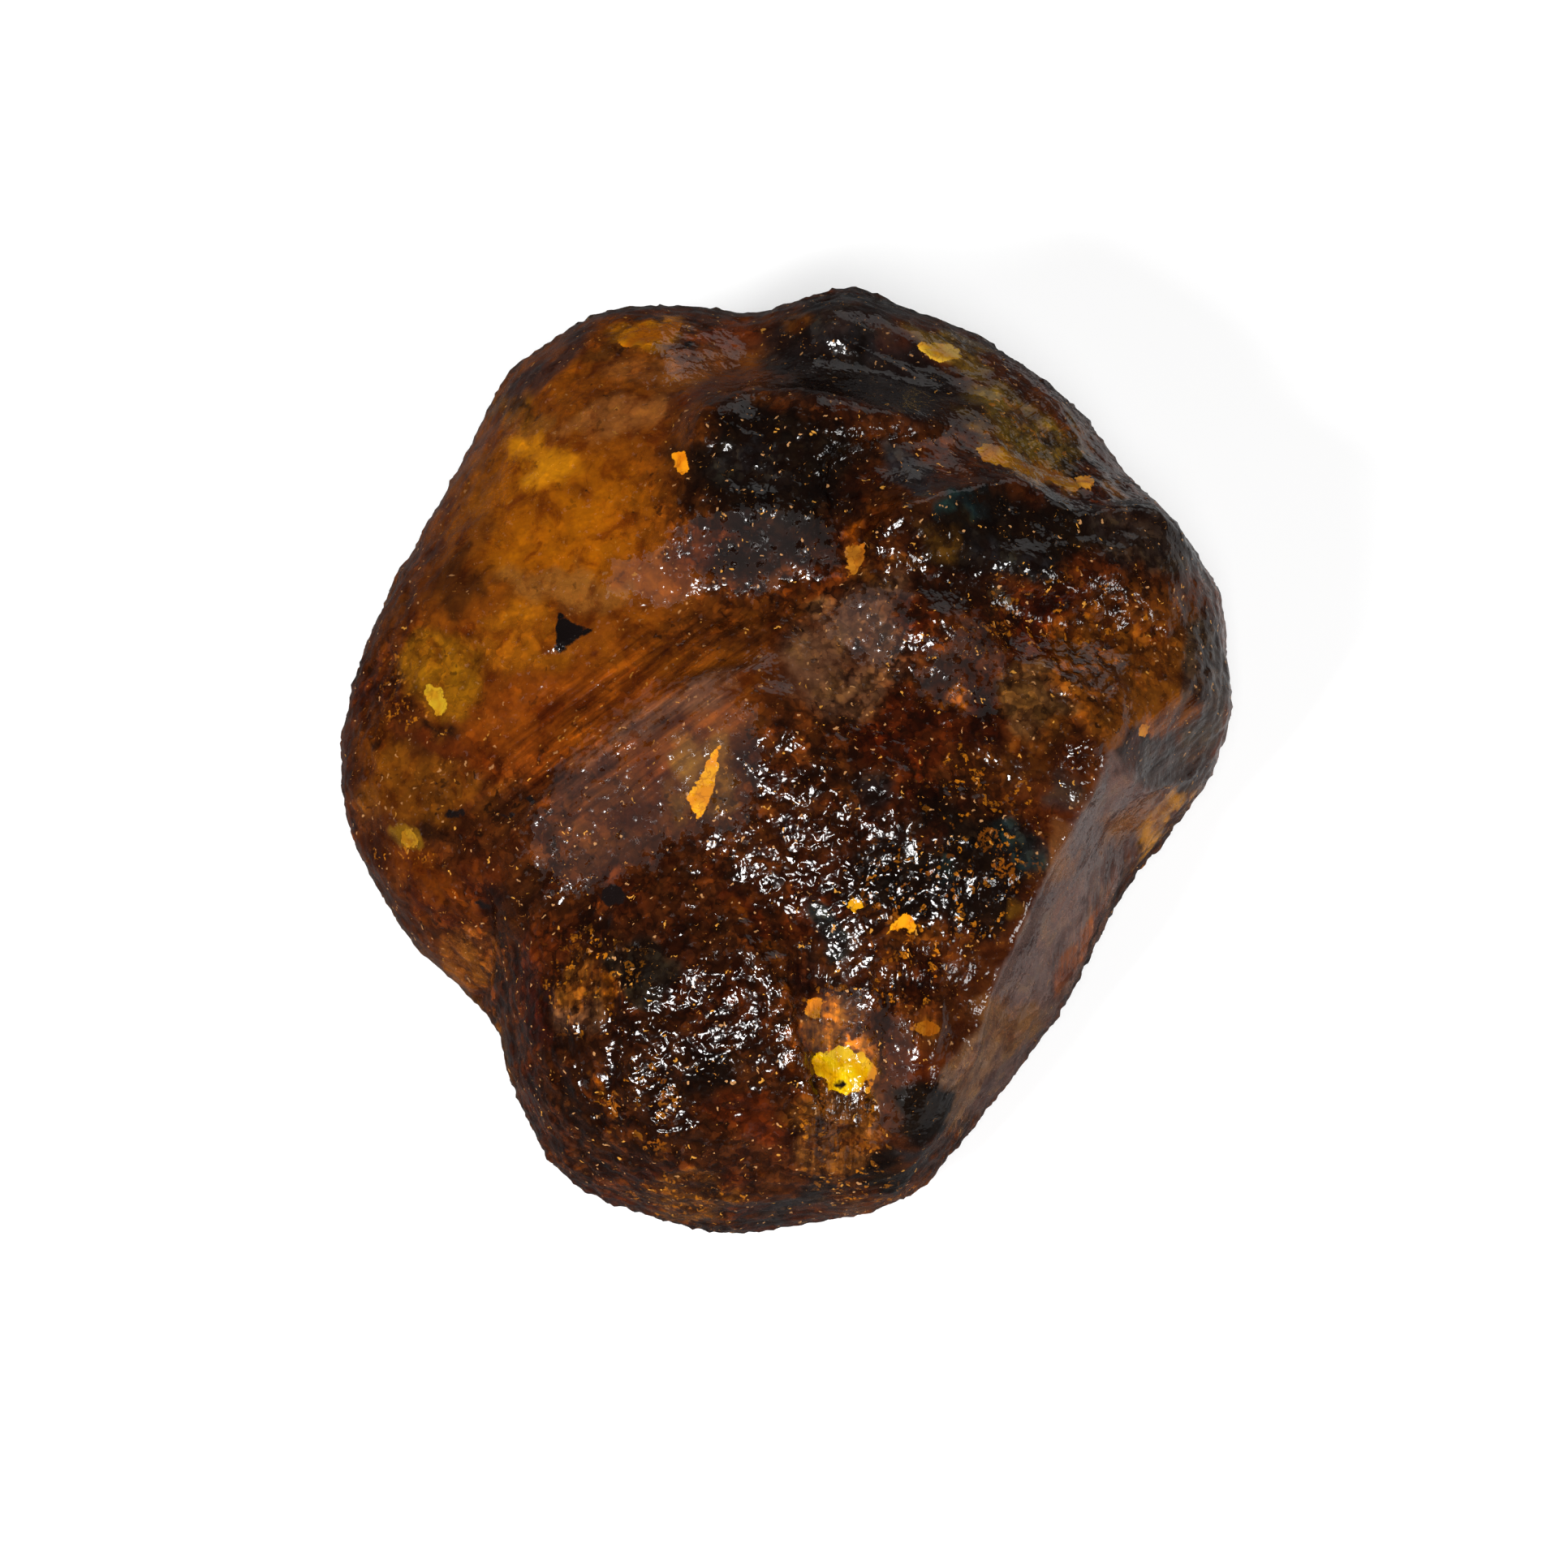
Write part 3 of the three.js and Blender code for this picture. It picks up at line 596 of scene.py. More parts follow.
def patched_behind(colour):
    """A colour at every vertex, with the patches of the back and the sides laid over it."""
    centre = points - np.array(FACE_ORIGIN)
    bearing = np.degrees(np.arctan2(centre[:, 1], centre[:, 0])) + warp_u * BACK_WARP
    elevation = np.degrees(np.arcsin(centre[:, 2] / np.linalg.norm(centre, axis=1))) + warp_v * BACK_WARP
    for at_bearing, at_elevation, half_width, tone, strength in BACK_PATCHES:
        turn = (bearing - at_bearing + 180) % 360 - 180
        away = np.hypot(turn, (elevation - at_elevation) * 1.2) / half_width
        colour = overlay(colour, (1 - facing) * strength * smoothstep(-away, *BACK_PATCH_EDGE), tone)
    return colour


def patched(colour, patches):
    """A colour at every vertex, with patches of the face laid over it."""
    for at, size, turn, tone, strength in patches:
        away = patch_radius(u + warp_u, v + warp_v, at, size, turn)
        colour = overlay(colour, facing * strength * smoothstep(-away, *PATCH_EDGE), tone)
    return colour


mottle = 0.5 + 0.5 * perlin(points, 2.8, 61.0)
red_share = smoothstep(perlin(points, 4.0, 71.0), 0.0, 0.5) * 0.5
flank_field = polygon_field(u + warp_u * FLANK_WARP, v + warp_v * FLANK_WARP, FLANK)
flank = facing * smoothstep(flank_field, -0.15, 0.2)

colour = overlay(BROWN * (0.75 + 0.5 * mottle[:, None]), red_share, RED_BROWN)
colour = patched(patched_behind(colour), PATCHES)
# The flank's tone, partly a painted sheen, is laid over the face here.
colour = patched(overlay(colour, flank * 0.95, FLANK_TONE_AND_SHEEN), FLANK_PATCHES)
grain = grain * (1 - 0.75 * flank)

# Bright windows into clear resin, and black carbon flecks, both with sharp edges. Each is a polygon over
# the face, with how far its edge wanders; a window has its own colour.
LEMON = linear(255, 206, 6)
WINDOWS = [
    ([[1.6, -15.2], [1.7, -15.9], [2.2, -16.1], [2.4, -16.8], [3.0, -17.1], [3.7, -16.8], [4.1, -16.2],
      [4.3, -15.5], [4.0, -15.0], [3.5, -15.2], [3.1, -14.8], [2.5, -14.8], [2.2, -15.2], [1.9, -14.9]],
     0.25, LEMON),
    ([[1.1, -12.9], [1.9, -13.1], [1.9, -12.4], [1.3, -12.3]], 0.3, linear(222, 142, 26)),
    ([[4.2, -17.0], [4.6, -16.2], [4.6, -15.6], [4.3, -16.2]], 0.2, linear(216, 136, 12)),
    ([[-4.9, -2.0], [-4.3, -3.0], [-3.7, -1.6], [-3.3, 0.6], [-4.2, -0.9]], 0.15, linear(222, 150, 14)),
    ([[-18.9, 3.9], [-18.0, 2.4], [-17.5, 2.8], [-18.0, 3.8]], 0.25, linear(238, 186, 40)),
    ([[-8.7, 22.0], [-6.2, 22.4], [-5.6, 23.2], [-7.4, 23.3], [-8.6, 22.8]], 0.4, linear(204, 124, 8)),
    ([[7.1, 22.1], [8.3, 21.2], [9.3, 21.6], [8.6, 22.3]], 0.4, linear(206, 160, 48)),
    ([[10.2, 16.6], [10.5, 15.8], [13.0, 14.9], [15.4, 14.2], [15.2, 14.8], [12.8, 15.6], [10.8, 16.4]], 0.3,
     linear(164, 112, 14)),
    ([[15.5, 14.9], [15.7, 14.2], [16.2, 14.2], [16.2, 15.0]], 0.1, linear(216, 146, 40)),
    ([[3.2, 11.1], [3.4, 9.6], [4.0, 10.4], [4.0, 11.2]], 0.15, linear(176, 110, 26)),
    ([[5.1, -8.9], [6.3, -8.5], [6.5, -8.9], [6.7, -8.4], [6.3, -7.9], [5.9, -8.2]], 0.15,
     linear(222, 146, 18)),
    ([[3.3, -7.2], [3.6, -7.7], [4.1, -7.3], [3.7, -7.1]], 0.2, linear(190, 132, 10)),
    ([[-5.8, 16.0], [-5.7, 15.1], [-5.1, 15.0], [-5.2, 16.0]], 0.2, linear(220, 136, 16)),
    ([[6.4, -13.6], [7.2, -14.1], [7.7, -13.7], [7.0, -13.4]], 0.6, linear(140, 82, 12)),
    ([[18.5, 1.3], [18.9, 1.2], [19.1, 1.6], [18.7, 1.8]], 0.1, linear(186, 118, 28)),
    ([[-19.9, -4.4], [-19.4, -4.6], [-19.2, -3.9], [-19.8, -3.6]], 0.5, linear(196, 140, 30)),
]
FLECKS = [
    ([[-11.8, 7.9], [-12.0, 5.2], [-11.0, 6.0], [-9.6, 6.8], [-10.8, 7.0]], 0.25),
    ([[-17.9, -2.9], [-17.0, -3.1], [-16.4, -2.9], [-16.7, -2.5], [-17.5, -2.5]], 0.2),
    ([[-15.2, -2.9], [-14.0, -3.1], [-13.7, -2.8], [-14.4, -2.7]], 0.2),
    ([[-13.4, -2.0], [-13.1, -2.5], [-12.7, -2.1], [-13.0, -1.7]], 0.2),
    ([[-16.3, -7.4], [-15.7, -8.0], [-15.4, -7.7], [-15.9, -7.2]], 0.2),
    ([[-9.6, -6.9], [-8.9, -7.8], [-8.0, -7.5], [-7.9, -6.8], [-8.7, -6.2]], 0.4),
    ([[2.5, -16.6], [2.7, -16.9], [3.1, -16.9], [3.3, -16.6], [3.1, -16.3], [2.7, -16.3]], 0.0),
    ([[-10.5, 14.0], [-10.1, 13.7], [-9.9, 14.1], [-10.2, 14.3]], 0.2),
    ([[-5.6, 22.2], [-5.0, 21.9], [-4.6, 22.2], [-5.1, 22.4]], 0.2),
]


FAR_OUTSIDE = -5.0


def wandering_field(corners, wander):
    """How far inside a polygon each place is, when the polygon's edge wanders."""
    return polygon_field(u + warp_u * wander * 0.5, v + warp_v * wander * 0.5, corners)


def window_fields():
    """The windows' shared field, and the colour of the nearest window at each vertex."""
    field = np.full(len(u), FAR_OUTSIDE)
    tones = np.tile(LEMON, (len(u), 1))
    for corners, wander, tone in WINDOWS:
        own = wandering_field(corners, wander)
        nearer = own > field
        field = np.where(nearer, own, field)
        tones[nearer] = tone
    return np.where(facing > 0.5, field, FAR_OUTSIDE), tones


def fleck_field():
    field = np.full(len(u), FAR_OUTSIDE)
    for corners, wander in FLECKS:
        field = np.maximum(field, wandering_field(corners, wander))
    return np.where(facing > 0.5, field, FAR_OUTSIDE)


windows, window_tones = window_fields()
flecks = fleck_field()

# How much of the light goes into the amber: more of it where the amber is pale.
clear = 0.04 + 0.5 * smoothstep(colour.mean(axis=1), 0.015, 0.13)


# ---------------------------------------------------------------- the nodule's mesh
def new_object(name, points, faces, smooth=True):
    mesh = bpy.data.meshes.new(name)
    mesh.from_pydata((np.asarray(points) * MM).tolist(), [], np.asarray(faces).tolist())
    mesh.polygons.foreach_set("use_smooth", [smooth] * len(mesh.polygons))
    mesh.update()
    made = bpy.data.objects.new(name, mesh)
    bpy.context.scene.collection.objects.link(made)
    return made


def store(mesh, name, values):
    attribute = mesh.attributes.new(name, "FLOAT", "POINT")
    attribute.data.foreach_set("value", np.asarray(values, dtype=np.float32))


def store_colour(mesh, name, colours):
    attribute = mesh.color_attributes.new(name, "FLOAT_COLOR", "POINT")
    rgba = np.concatenate([np.clip(colours, 0, 1), np.ones((len(colours), 1))], 1)
    attribute.data.foreach_set("color", rgba.astype(np.float32).reshape(-1))


nodule = new_object("amber_skin", points, triangles)
store_colour(nodule.data, "body_colour", colour)
store_colour(nodule.data, "window_colour", window_tones)
for field_name, field in (
        ("grain", grain), ("hollows", np.clip(hollows, 0, 1)), ("clear", clear), ("windows", windows),
        ("flecks", flecks), ("wet", wet), ("dry", dry), ("upright_fibres", upright_fibres),
        ("fold_fibres", fold_fibres), ("golden_flakes", golden_flakes)):
    store(nodule.data, field_name, field)


# ---------------------------------------------------------------- materials
NUDGE_SIZE = 0.42


class Nodes:
    """Short ways to add and link a material's nodes."""

    def __init__(self, name):
        self.material = bpy.data.materials.new(name)
        self.material.use_nodes = True
        self.tree = self.material.node_tree
        self.shader = self.tree.nodes["Principled BSDF"]
        self.output = self.tree.nodes["Material Output"]
        self.nudge = None

    def fill(self, node, inputs):
        """Links each input to a socket, or sets it to a plain value."""
        for key, value in inputs.items():
            if isinstance(value, bpy.types.NodeSocket):
                self.tree.links.new(value, node.inputs[key])
            else:
                node.inputs[key].default_value = value

    def add(self, kind, inputs, **settings):
        node = self.tree.nodes.new(kind)
        for key, value in settings.items():
            setattr(node, key, value)
        self.fill(node, inputs)
        return node

    def math(self, operation, a, b=0.0, clamp=False):
        return self.add("ShaderNodeMath", {0: a, 1: b}, operation=operation, use_clamp=clamp).outputs[0]

    def vector_math(self, operation, inputs):
        return self.add("ShaderNodeVectorMath", inputs, operation=operation).outputs[0]

    def ramp(self, value, low, high, to_low=0.0, to_high=1.0):
        inputs = {"Value": value, "From Min": low, "From Max": high, "To Min": to_low, "To Max": to_high}
        return self.add("ShaderNodeMapRange", inputs, interpolation_type="SMOOTHSTEP").outputs["Result"]

    def mix(self, share, a, b, blend="MIX"):
        inputs = {0: share, 6: a, 7: b}
        return self.add("ShaderNodeMix", inputs, data_type="RGBA", blend_type=blend).outputs[2]

    def attribute(self, name, output="Fac"):
        return self.add("ShaderNodeAttribute", {}, attribute_name=name).outputs[output]

    def object_place(self):
        return self.add("ShaderNodeTexCoord", {}).outputs["Object"]

    def noise(self, place, size, detail=2.0, roughness=0.5, distortion=0.0):
        inputs = {"Vector": place, "Scale": 1 / (size * MM), "Detail": detail, "Roughness": roughness,
                  "Distortion": distortion}
        return self.add("ShaderNodeTexNoise", inputs)

    def jittered(self, place, size):
        """Places nudged by noise, so that cells of a size get uneven outlines."""
        if self.nudge is None:
            swirl = self.noise(place, NUDGE_SIZE, 1.0).outputs["Color"]
            self.nudge = self.vector_math("SUBTRACT", {0: swirl, 1: (0.5, 0.5, 0.5)})
        scaled = self.vector_math("SCALE", {0: self.nudge, "Scale": size * MM * 1.2})
        return self.vector_math("ADD", {0: place, 1: scaled})

    def aligned(self, place, turn, across, along):
        """Places in a frame on the face, turned clockwise from straight up it, and scaled by two sizes."""
        tilted = Matrix.Rotation(math.pi / 2 - FACE_ELEVATION, 3, "X")
        turned = tilted @ Matrix.Rotation(math.radians(turn), 3, "Z")
        inputs = {"Vector": place, "Rotation": turned.to_euler("XYZ"),
                  "Scale": (across * MM, along * MM, along * MM)}
        return self.add("ShaderNodeMapping", inputs, vector_type="TEXTURE").outputs[0]

    def voronoi(self, place, size, feature="F1"):
        return self.add("ShaderNodeTexVoronoi", {"Vector": place, "Scale": 1 / (size * MM)}, feature=feature)


def rgb(colour, gain=1.0):
    return (*[float(min(c * gain, 1)) for c in colour], 1.0)


# Specks over the granules, dark pits, and pale and golden specks that are partly painted glints: cell size,
# radius, share left out, tone, strength.
SPECKS_AND_GLINTS = (
    (1.1, 0.24, 0.55, linear(20, 8, 3), 0.8),
    (0.5, 0.2, 0.7, linear(206, 150, 96), 0.6),
    (0.9, 0.14, 0.5, linear(216, 150, 60), 0.7),
)
# The tone of short golden threads, which are partly painted glints.
THREAD_AND_GLINT_TONE = linear(196, 128, 56)
# Golden flakes: cell size, share left out, tone.
GOLDEN_FLAKE_KINDS = ((0.55, 0.66, linear(170, 100, 16)), (1.1, 0.7, linear(132, 70, 10)))
FLECK_TONE = linear(20, 13, 12)
MATT_ROUGHNESS = 0.92
BEAD_HEIGHT = 0.05
WRINKLE_HEIGHT = 0.08
FINEST_HEIGHT = 0.045
RIPPLE_HEIGHT = 0.20
STRAND_HEIGHT = 0.12
AMBER_IOR = 1.54


class AmberNodes(Nodes):
    """The nodes of the amber, with the places and skin fields that its layers share."""

    def __init__(self):
        super().__init__("amber")
        self.place = self.object_place()
        self.grain = self.attribute("grain")
        self.grainy = self.ramp(self.grain, 0.1, 0.7, 0.15, 1.0)
        self.wrinkles = self.fine(0.75, 1.0)
        self.rough_edge = self.math("MULTIPLY", self.centred(self.fine(0.5, 3.0, 0.6)), 0.6)
        self.upright = self.strands(0, 0.32, 3.0)
        self.slanting = self.strands(-54, 0.36, 3.4)

    def fine(self, size, detail=2.0, roughness=0.55, distortion=0.0):
        return self.noise(self.place, size, detail, roughness, distortion).outputs["Fac"]

    def centred(self, value):
        return self.math("SUBTRACT", value, 0.5)

    def strands(self, turn, across, along):
        """Long thin noise, like fibres, turned clockwise from straight up the face."""
        return self.noise(self.aligned(self.place, turn, across, along), 1 / MM, 2.0).outputs["Fac"]

    def near_middle(self, value, width, inner):
        """1 where a noise is near its middle, which draws thin bent lines, and 0 away from it."""
        return self.ramp(self.math("ABSOLUTE", self.centred(value)), width, inner)

    def product(self, *factors):
        result = factors[0]
        for factor in factors[1:]:
            result = self.math("MULTIPLY", result, factor)
        return result

    def tinted(self, body, share, tint):
        return self.mix(share, body, self.mix(1.0, body, (*tint, 1), "MULTIPLY"))

    def cell_parts(self, cells):
        """Three random numbers from 0 to 1 that each cell has for its own."""
        return self.add("ShaderNodeSeparateColor", {"Color": cells.outputs["Color"]}).outputs


def clouded(n, body):
    """Cloudy depths: each patch drifts to a redder and darker, and to a more golden, shade of itself."""
    clouds = n.fine(1.9, 5.0, 0.62, 0.5)
    darker = n.mix(1.0, body, (0.52, 0.40, 0.36, 1), "MULTIPLY")
    golden = n.mix(1.0, body, (1.35, 1.45, 1.1, 1), "MULTIPLY")
    body = n.mix(n.ramp(clouds, 0.52, 0.34), body, darker)
    return n.mix(n.ramp(clouds, 0.50, 0.70), body, golden)


def granulated(n, body):
    """Granules in two sizes, each a shade of its own, with dark rims between them, and dark crust that is
    partly painted shade in the hollows.
    """
    for size, strength in ((0.85, 0.85), (0.4, 0.7)):
        granules = n.voronoi(n.jittered(n.place, size), size)
        shade = n.cell_parts(granules)[0]
        rim = n.ramp(granules.outputs["Distance"], 0.5, 0.85)
        weight = n.product(n.grainy, strength)
        body = n.tinted(body, n.product(n.ramp(shade, 0.45, 0.0), weight), (0.42, 0.33, 0.3))
        body = n.tinted(body, n.product(n.ramp(shade, 0.6, 1.0), weight), (2.0, 1.85, 1.4))
        body = n.tinted(body, n.product(rim, weight), (0.4, 0.34, 0.32))
    # Dark crust and painted shade: the mesh's hollows and the low places of the wrinkles are darkened.
    crust_and_shade_tone = rgb(DARK_BROWN, 0.4)
    body = n.mix(n.product(n.attribute("hollows"), n.grainy, 0.7), body, crust_and_shade_tone)
    return n.mix(n.product(n.ramp(n.wrinkles, 0.5, 0.36), n.grainy, 0.6), body, crust_and_shade_tone)


def speckled_and_glinted(n, body):
    """Dark pits, and pale and golden specks and short golden threads that are partly painted glints."""
    for size, radius, kept, tone, strength in SPECKS_AND_GLINTS:
        dots = n.voronoi(n.jittered(n.place, size), size)
        dot = n.ramp(dots.outputs["Distance"], radius, radius * 0.6)
        chosen = n.math("GREATER_THAN", n.cell_parts(dots)[1], kept)
        share = n.product(dot, chosen, n.ramp(n.grain, 0.0, 0.5, 0.3, 1.0), strength)
        body = n.mix(share, body, rgb(tone))
    # Short golden threads, partly painted glints.
    here_and_there = n.product(n.ramp(n.fine(1.1, 2.0), 0.52, 0.62), n.ramp(n.fine(0.3, 0.0), 0.56, 0.62))
    thread = n.near_middle(n.fine(0.3, 1.0), 0.022, 0.0088)
    share = n.product(thread, here_and_there, n.ramp(n.grain, 0.0, 0.5, 0.4, 1.0), 0.6)
    return n.mix(share, body, rgb(THREAD_AND_GLINT_TONE))


def flaked(n, body):
    """Golden flakes, each a streaky cell of its own."""
    streaks = n.ramp(n.fine(0.3, 2.0, 0.6, 1.0), 0.40, 0.56)
    for size, kept, tone in GOLDEN_FLAKE_KINDS:
        flakes = n.voronoi(n.jittered(n.place, size * 1.6), size)
        parts = n.cell_parts(flakes)
        spot = n.ramp(flakes.outputs["Distance"], 0.44, 0.34)
        flake = n.product(spot, n.math("GREATER_THAN", parts[2], kept))
        brightness = n.ramp(parts[0], 0.0, 1.0, 0.3, 1.0)
        body = n.mix(n.product(flake, streaks, brightness, n.attribute("golden_flakes")), body, rgb(tone))
    return body


def fibrous(n, body):
    """Fibres, dark and pale side by side."""
    for fibre, zone in ((n.upright, "upright_fibres"), (n.slanting, "fold_fibres")):
        zone = n.attribute(zone)
        body = n.tinted(body, n.product(n.ramp(fibre, 0.5, 0.36), zone, 0.7), (0.4, 0.33, 0.3))
        body = n.tinted(body, n.product(n.ramp(fibre, 0.52, 0.66), zone, 0.8), (1.8, 1.75, 1.6))
    return body


def windowed(n, body):
    """Windows of clear bright resin, in lobes parted by darker veins, and black flecks."""
    tone = n.attribute("window_colour", "Color")
    lobes = n.ramp(n.voronoi(n.place, 0.95).outputs["Distance"], 0.4, 0.7)
    bright = n.mix(n.product(lobes, 0.8), tone, n.mix(1.0, tone, (0.85, 0.62, 0.4, 1), "MULTIPLY"))
    vein = n.near_middle(n.fine(0.8, 2.0), 0.03, 0.0)
    bright = n.mix(n.product(vein, 0.6), bright, n.mix(1.0, tone, (0.5, 0.35, 0.3, 1), "MULTIPLY"))
    window = n.math("ADD", n.attribute("windows"), n.math("ADD", n.rough_edge, 0.12))
    body = n.mix(n.ramp(window, 0.0, 0.05), body, bright)
    fleck = n.math("ADD", n.attribute("flecks"), n.product(n.rough_edge, 0.7))
    return n.mix(n.ramp(fleck, 0.0, 0.12), body, rgb(FLECK_TONE))


def skin_roughness(n):
    """Wet-looking gloss, a little duller here and there, and stippled with matt where the skin is dry."""
    stipple = n.product(n.centred(n.fine(0.42, 3.0, 0.6)), 3.0)
    dry = n.ramp(n.math("ADD", n.attribute("dry"), stipple), 0.38, 0.62)
    gloss = n.ramp(n.fine(0.9, 3.0), 0.35, 0.7, 0.09, 0.16)
    return n.math("ADD", gloss, n.product(n.math("SUBTRACT", MATT_ROUGHNESS, gloss), dry))


def skin_height(n):
    """The finest bumps of the skin, in millimetres: wrinkles, beads, wet ripples and strands."""
    wet = n.attribute("wet")
    beads = n.product(n.voronoi(n.place, 0.5).outputs["Distance"], -BEAD_HEIGHT)
    height = n.math("ADD", n.product(n.wrinkles, WRINKLE_HEIGHT), beads)
    height = n.product(height, n.ramp(n.grain, 0.03, 0.9, 0.12, 0.9))
    height = n.math("ADD", height, n.product(n.fine(0.34, 1.0), FINEST_HEIGHT))
    height = n.product(height, n.ramp(wet, 0.0, 1.0, 1.0, 0.3))
    height = n.math("ADD", height, n.product(n.fine(0.55, 0.5, 0.5, 0.5), RIPPLE_HEIGHT, wet))
    strands = n.math("ADD", n.product(n.upright, n.attribute("upright_fibres")),
                     n.product(n.slanting, n.attribute("fold_fibres")))
    return n.math("ADD", height, n.product(strands, STRAND_HEIGHT))


def amber_material():
    n = AmberNodes()
    body = n.attribute("body_colour", "Color")
    for layer in (clouded, granulated, speckled_and_glinted, flaked, fibrous, windowed):
        body = layer(n, body)
    bump = n.add("ShaderNodeBump", {"Strength": 1.0, "Distance": MM, "Height": skin_height(n)})
    n.fill(n.shader, {
        "Base Color": body, "Roughness": skin_roughness(n), "Normal": bump.outputs[0],
        "Transmission Weight": n.attribute("clear"), "Specular IOR Level": 0.25, "IOR": AMBER_IOR})
    absorb = n.add("ShaderNodeVolumeAbsorption", {"Color": (0.9, 0.5, 0.06, 1), "Density": 110})
    n.fill(n.output, {"Volume": absorb.outputs[0]})
    return n.material


nodule.data.materials.append(amber_material())
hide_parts("amber_nodule")
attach(nodule, "root")


# ---------------------------------------------------------------- what is sealed in the amber
FLAKE_COUNT = 34
FLAKE_CORNERS = 16
FLAKE_THICKNESS = 0.06
DEBRIS_COUNT = 30
DEBRIS_UNEVENNESS = 0.8

rng = np.random.default_rng(41)
clear_places = np.flatnonzero((clear > 0.22) & (points[:, 2] > 2))


def thin_flake(radius):
    """A cupped flake with an uneven rim, as points and triangles."""
    turns = np.linspace(0, 2 * np.pi, FLAKE_CORNERS, endpoint=False)
    rim = radius * rng.uniform(0.6, 1.1, FLAKE_CORNERS)
    ring = np.stack([rim * np.cos(turns), rim * np.sin(turns), 0.15 * rim], 1)
    under = np.concatenate([[[0, 0, 0]], ring])
    i = np.arange(FLAKE_CORNERS)
    j = (i + 1) % FLAKE_CORNERS
    hub, low_i, low_j = np.zeros_like(i), 1 + i, 1 + j
    top = FLAKE_CORNERS + 1
    faces = [[hub, low_j, low_i], [hub + top, low_i + top, low_j + top],
             [low_i, low_j, low_j + top], [low_i, low_j + top, low_i + top]]
    corners = np.concatenate([under, under + [0, 0, FLAKE_THICKNESS]])
    return corners, np.concatenate([np.stack(face, 1) for face in faces])


def pebble(radius, unevenness):
    """A rounded grain: a smooth ball at an unevenness of 0, and a rough chip near 1."""
    ball = bmesh.new()
    bmesh.ops.create_icosphere(ball, subdivisions=2, radius=1)
    directions = np.array([corner.co[:] for corner in ball.verts])
    faces = np.array([[corner.index for corner in face.verts] for face in ball.faces])
    ball.free()
    swell = 1 + unevenness * perlin(directions, 0.9, float(rng.uniform(5, 50)))
    stretch = 1 + unevenness * rng.uniform(-0.5, 0.5, 3)
    return directions * swell[:, None] * stretch * radius, faces


def seal_in(name, shapes, shallow, deep):
    """Sets shapes at random places under the skin's clearer parts, as one object that rides on the nodule."""
    all_points, all_faces, count = [], [], 0
    for shape_points, faces in shapes:
        spot = rng.choice(clear_places)
        outward = normals[spot] + rng.uniform(-0.35, 0.35, 3)
        outward /= np.linalg.norm(outward)
        side = np.cross(outward, rng.normal(size=3))
        side /= np.linalg.norm(side)
        axes = np.stack([side, np.cross(outward, side), outward])
        place = points[spot] - normals[spot] * rng.uniform(shallow, deep)
        all_points.append(shape_points @ axes + place)
        all_faces.append(faces + count)
        count += len(shape_points)
    made = new_object(name, np.concatenate(all_points), np.concatenate(all_faces), smooth=False)
    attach(made, "root")
    return made


def inclusion_material(name, tone, stain, roughness, specular):
    """A tone with cloudy stains, on a finely crumpled surface."""
    n = Nodes(name)
    place = n.object_place()
    clouds = n.noise(place, 0.3, 3.0).outputs["Fac"]
    stained = n.mix(n.ramp(clouds, 0.4, 0.62), rgb(tone), rgb(stain))
    height = n.math("MULTIPLY", n.noise(place, 0.12, 2.0).outputs["Fac"], 0.03)
    bump = n.add("ShaderNodeBump", {"Distance": MM, "Height": height})
    n.fill(n.shader, {"Base Color": stained, "Normal": bump.outputs[0], "Roughness": roughness,
                      "Specular IOR Level": specular})
    return n.material


flake_shapes = [thin_flake(rng.uniform(0.4, 1.0)) for _ in range(FLAKE_COUNT)]
golden = seal_in("sealed_flakes", flake_shapes, 0.8, 1.9)
golden.data.materials.append(
    inclusion_material("spangle", linear(244, 180, 60), linear(176, 96, 20), 0.3, 0.8))

debris_shapes = [pebble(rng.uniform(0.15, 0.45), DEBRIS_UNEVENNESS) for _ in range(DEBRIS_COUNT)]
debris = seal_in("sealed_debris", debris_shapes, 0.8, 2.2)
debris.data.materials.append(
    inclusion_material("debris", linear(30, 18, 12), linear(66, 40, 24), 0.8, 0.2))


# ---------------------------------------------------------------- studio
FLOOR_HALF = 4000
MIDDLE = (0, 0, 14)


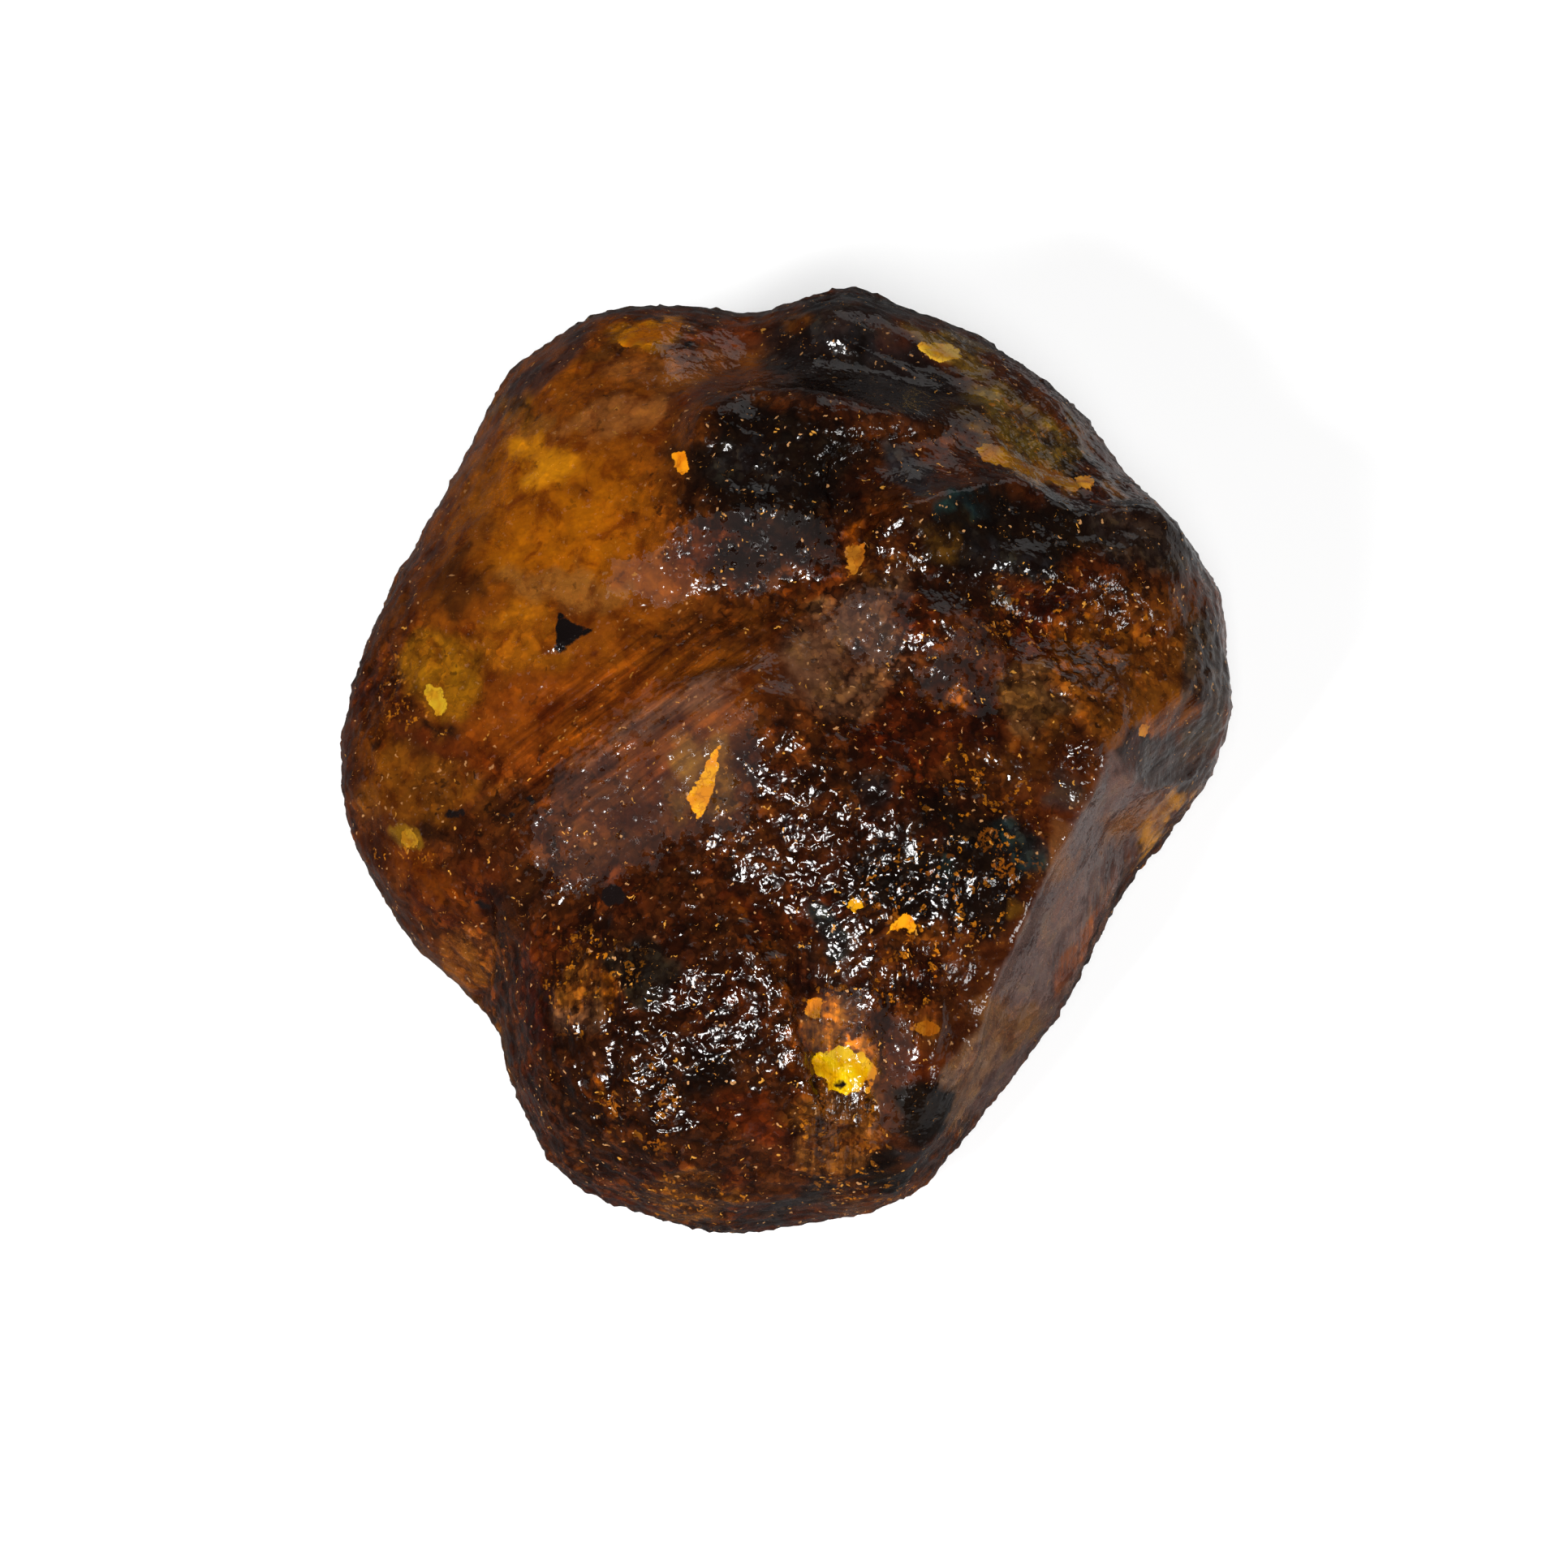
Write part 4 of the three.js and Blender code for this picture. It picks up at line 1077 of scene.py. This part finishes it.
def studio_floor():
    """A pale floor that glows a little, so that it stays pale all around."""
    n = Nodes("floor")
    n.fill(n.shader, {"Base Color": (0.5, 0.5, 0.5, 1), "Emission Color": (1, 1, 1, 1),
                      "Emission Strength": 0.56, "Roughness": 0.9, "Specular IOR Level": 0.2})
    corners = [[x * FLOOR_HALF, y * FLOOR_HALF, 0] for x, y in ((-1, -1), (1, -1), (1, 1), (-1, 1))]
    floor = new_object("floor", corners, [[0, 1, 2, 3]], smooth=False)
    floor.data.materials.append(n.material)
    floor.visible_glossy = False


def sheen_card(name, x_span, y_span, drop, strength):
    """A pale card level with the floor that shows in the nodule's gloss and nowhere else."""
    n = Nodes(name)
    n.fill(n.shader, {"Base Color": (0, 0, 0, 1), "Specular IOR Level": 0,
                      "Emission Color": (1, 1, 1, 1), "Emission Strength": strength})
    (left, right), (front, back) = x_span, y_span
    corners = [[left, front, -drop], [right, front, -drop], [right, back, -drop], [left, back, -drop]]
    card = new_object(name, corners, [[0, 1, 2, 3]], smooth=False)
    card.data.materials.append(n.material)
    card.visible_camera = False
    card.visible_diffuse = False
    card.visible_transmission = False
    card.visible_shadow = False


def softbox(name, place, width, height, watts):
    """A rectangular light that faces the middle of the nodule."""
    light = bpy.data.lights.new(name, "AREA")
    light.shape = "RECTANGLE"
    light.size = width * MM
    light.size_y = height * MM
    light.energy = watts
    lamp = bpy.data.objects.new(name, light)
    lamp.location = Vector(place) * MM
    lamp.rotation_euler = (Vector(place) - Vector(MIDDLE)).to_track_quat("Z", "Y").to_euler()
    bpy.context.scene.collection.objects.link(lamp)


studio_floor()
sheen_card("wide_card", (-1500, 1500), (-1500, 1500), 0.6, 0.10)
sheen_card("right_card", (26, 320), (-200, 80), 0.3, 0.5)
softbox("back_softbox", (190, 480, 270), 420, 260, 0.3)
softbox("key_softbox", (20, -297, 475), 118, 118, 2.6)
softbox("left_softbox", (-258, -332, 369), 106, 106, 2.7)
softbox("right_softbox", (458, -231, 223), 90, 90, 0.5)

world = bpy.data.worlds.new("studio")
world.use_nodes = True
world.node_tree.nodes["Background"].inputs["Color"].default_value = (1, 1, 1, 1)
world.node_tree.nodes["Background"].inputs["Strength"].default_value = 0.05
bpy.context.scene.world = world

scene = bpy.context.scene
scene.view_settings.view_transform = "Standard"
scene.cycles.max_bounces = 4
scene.cycles.use_light_tree = False
scene.cycles.diffuse_bounces = 1
scene.cycles.glossy_bounces = 2
scene.cycles.transmission_bounces = 2
scene.cycles.caustics_reflective = False
scene.cycles.caustics_refractive = False
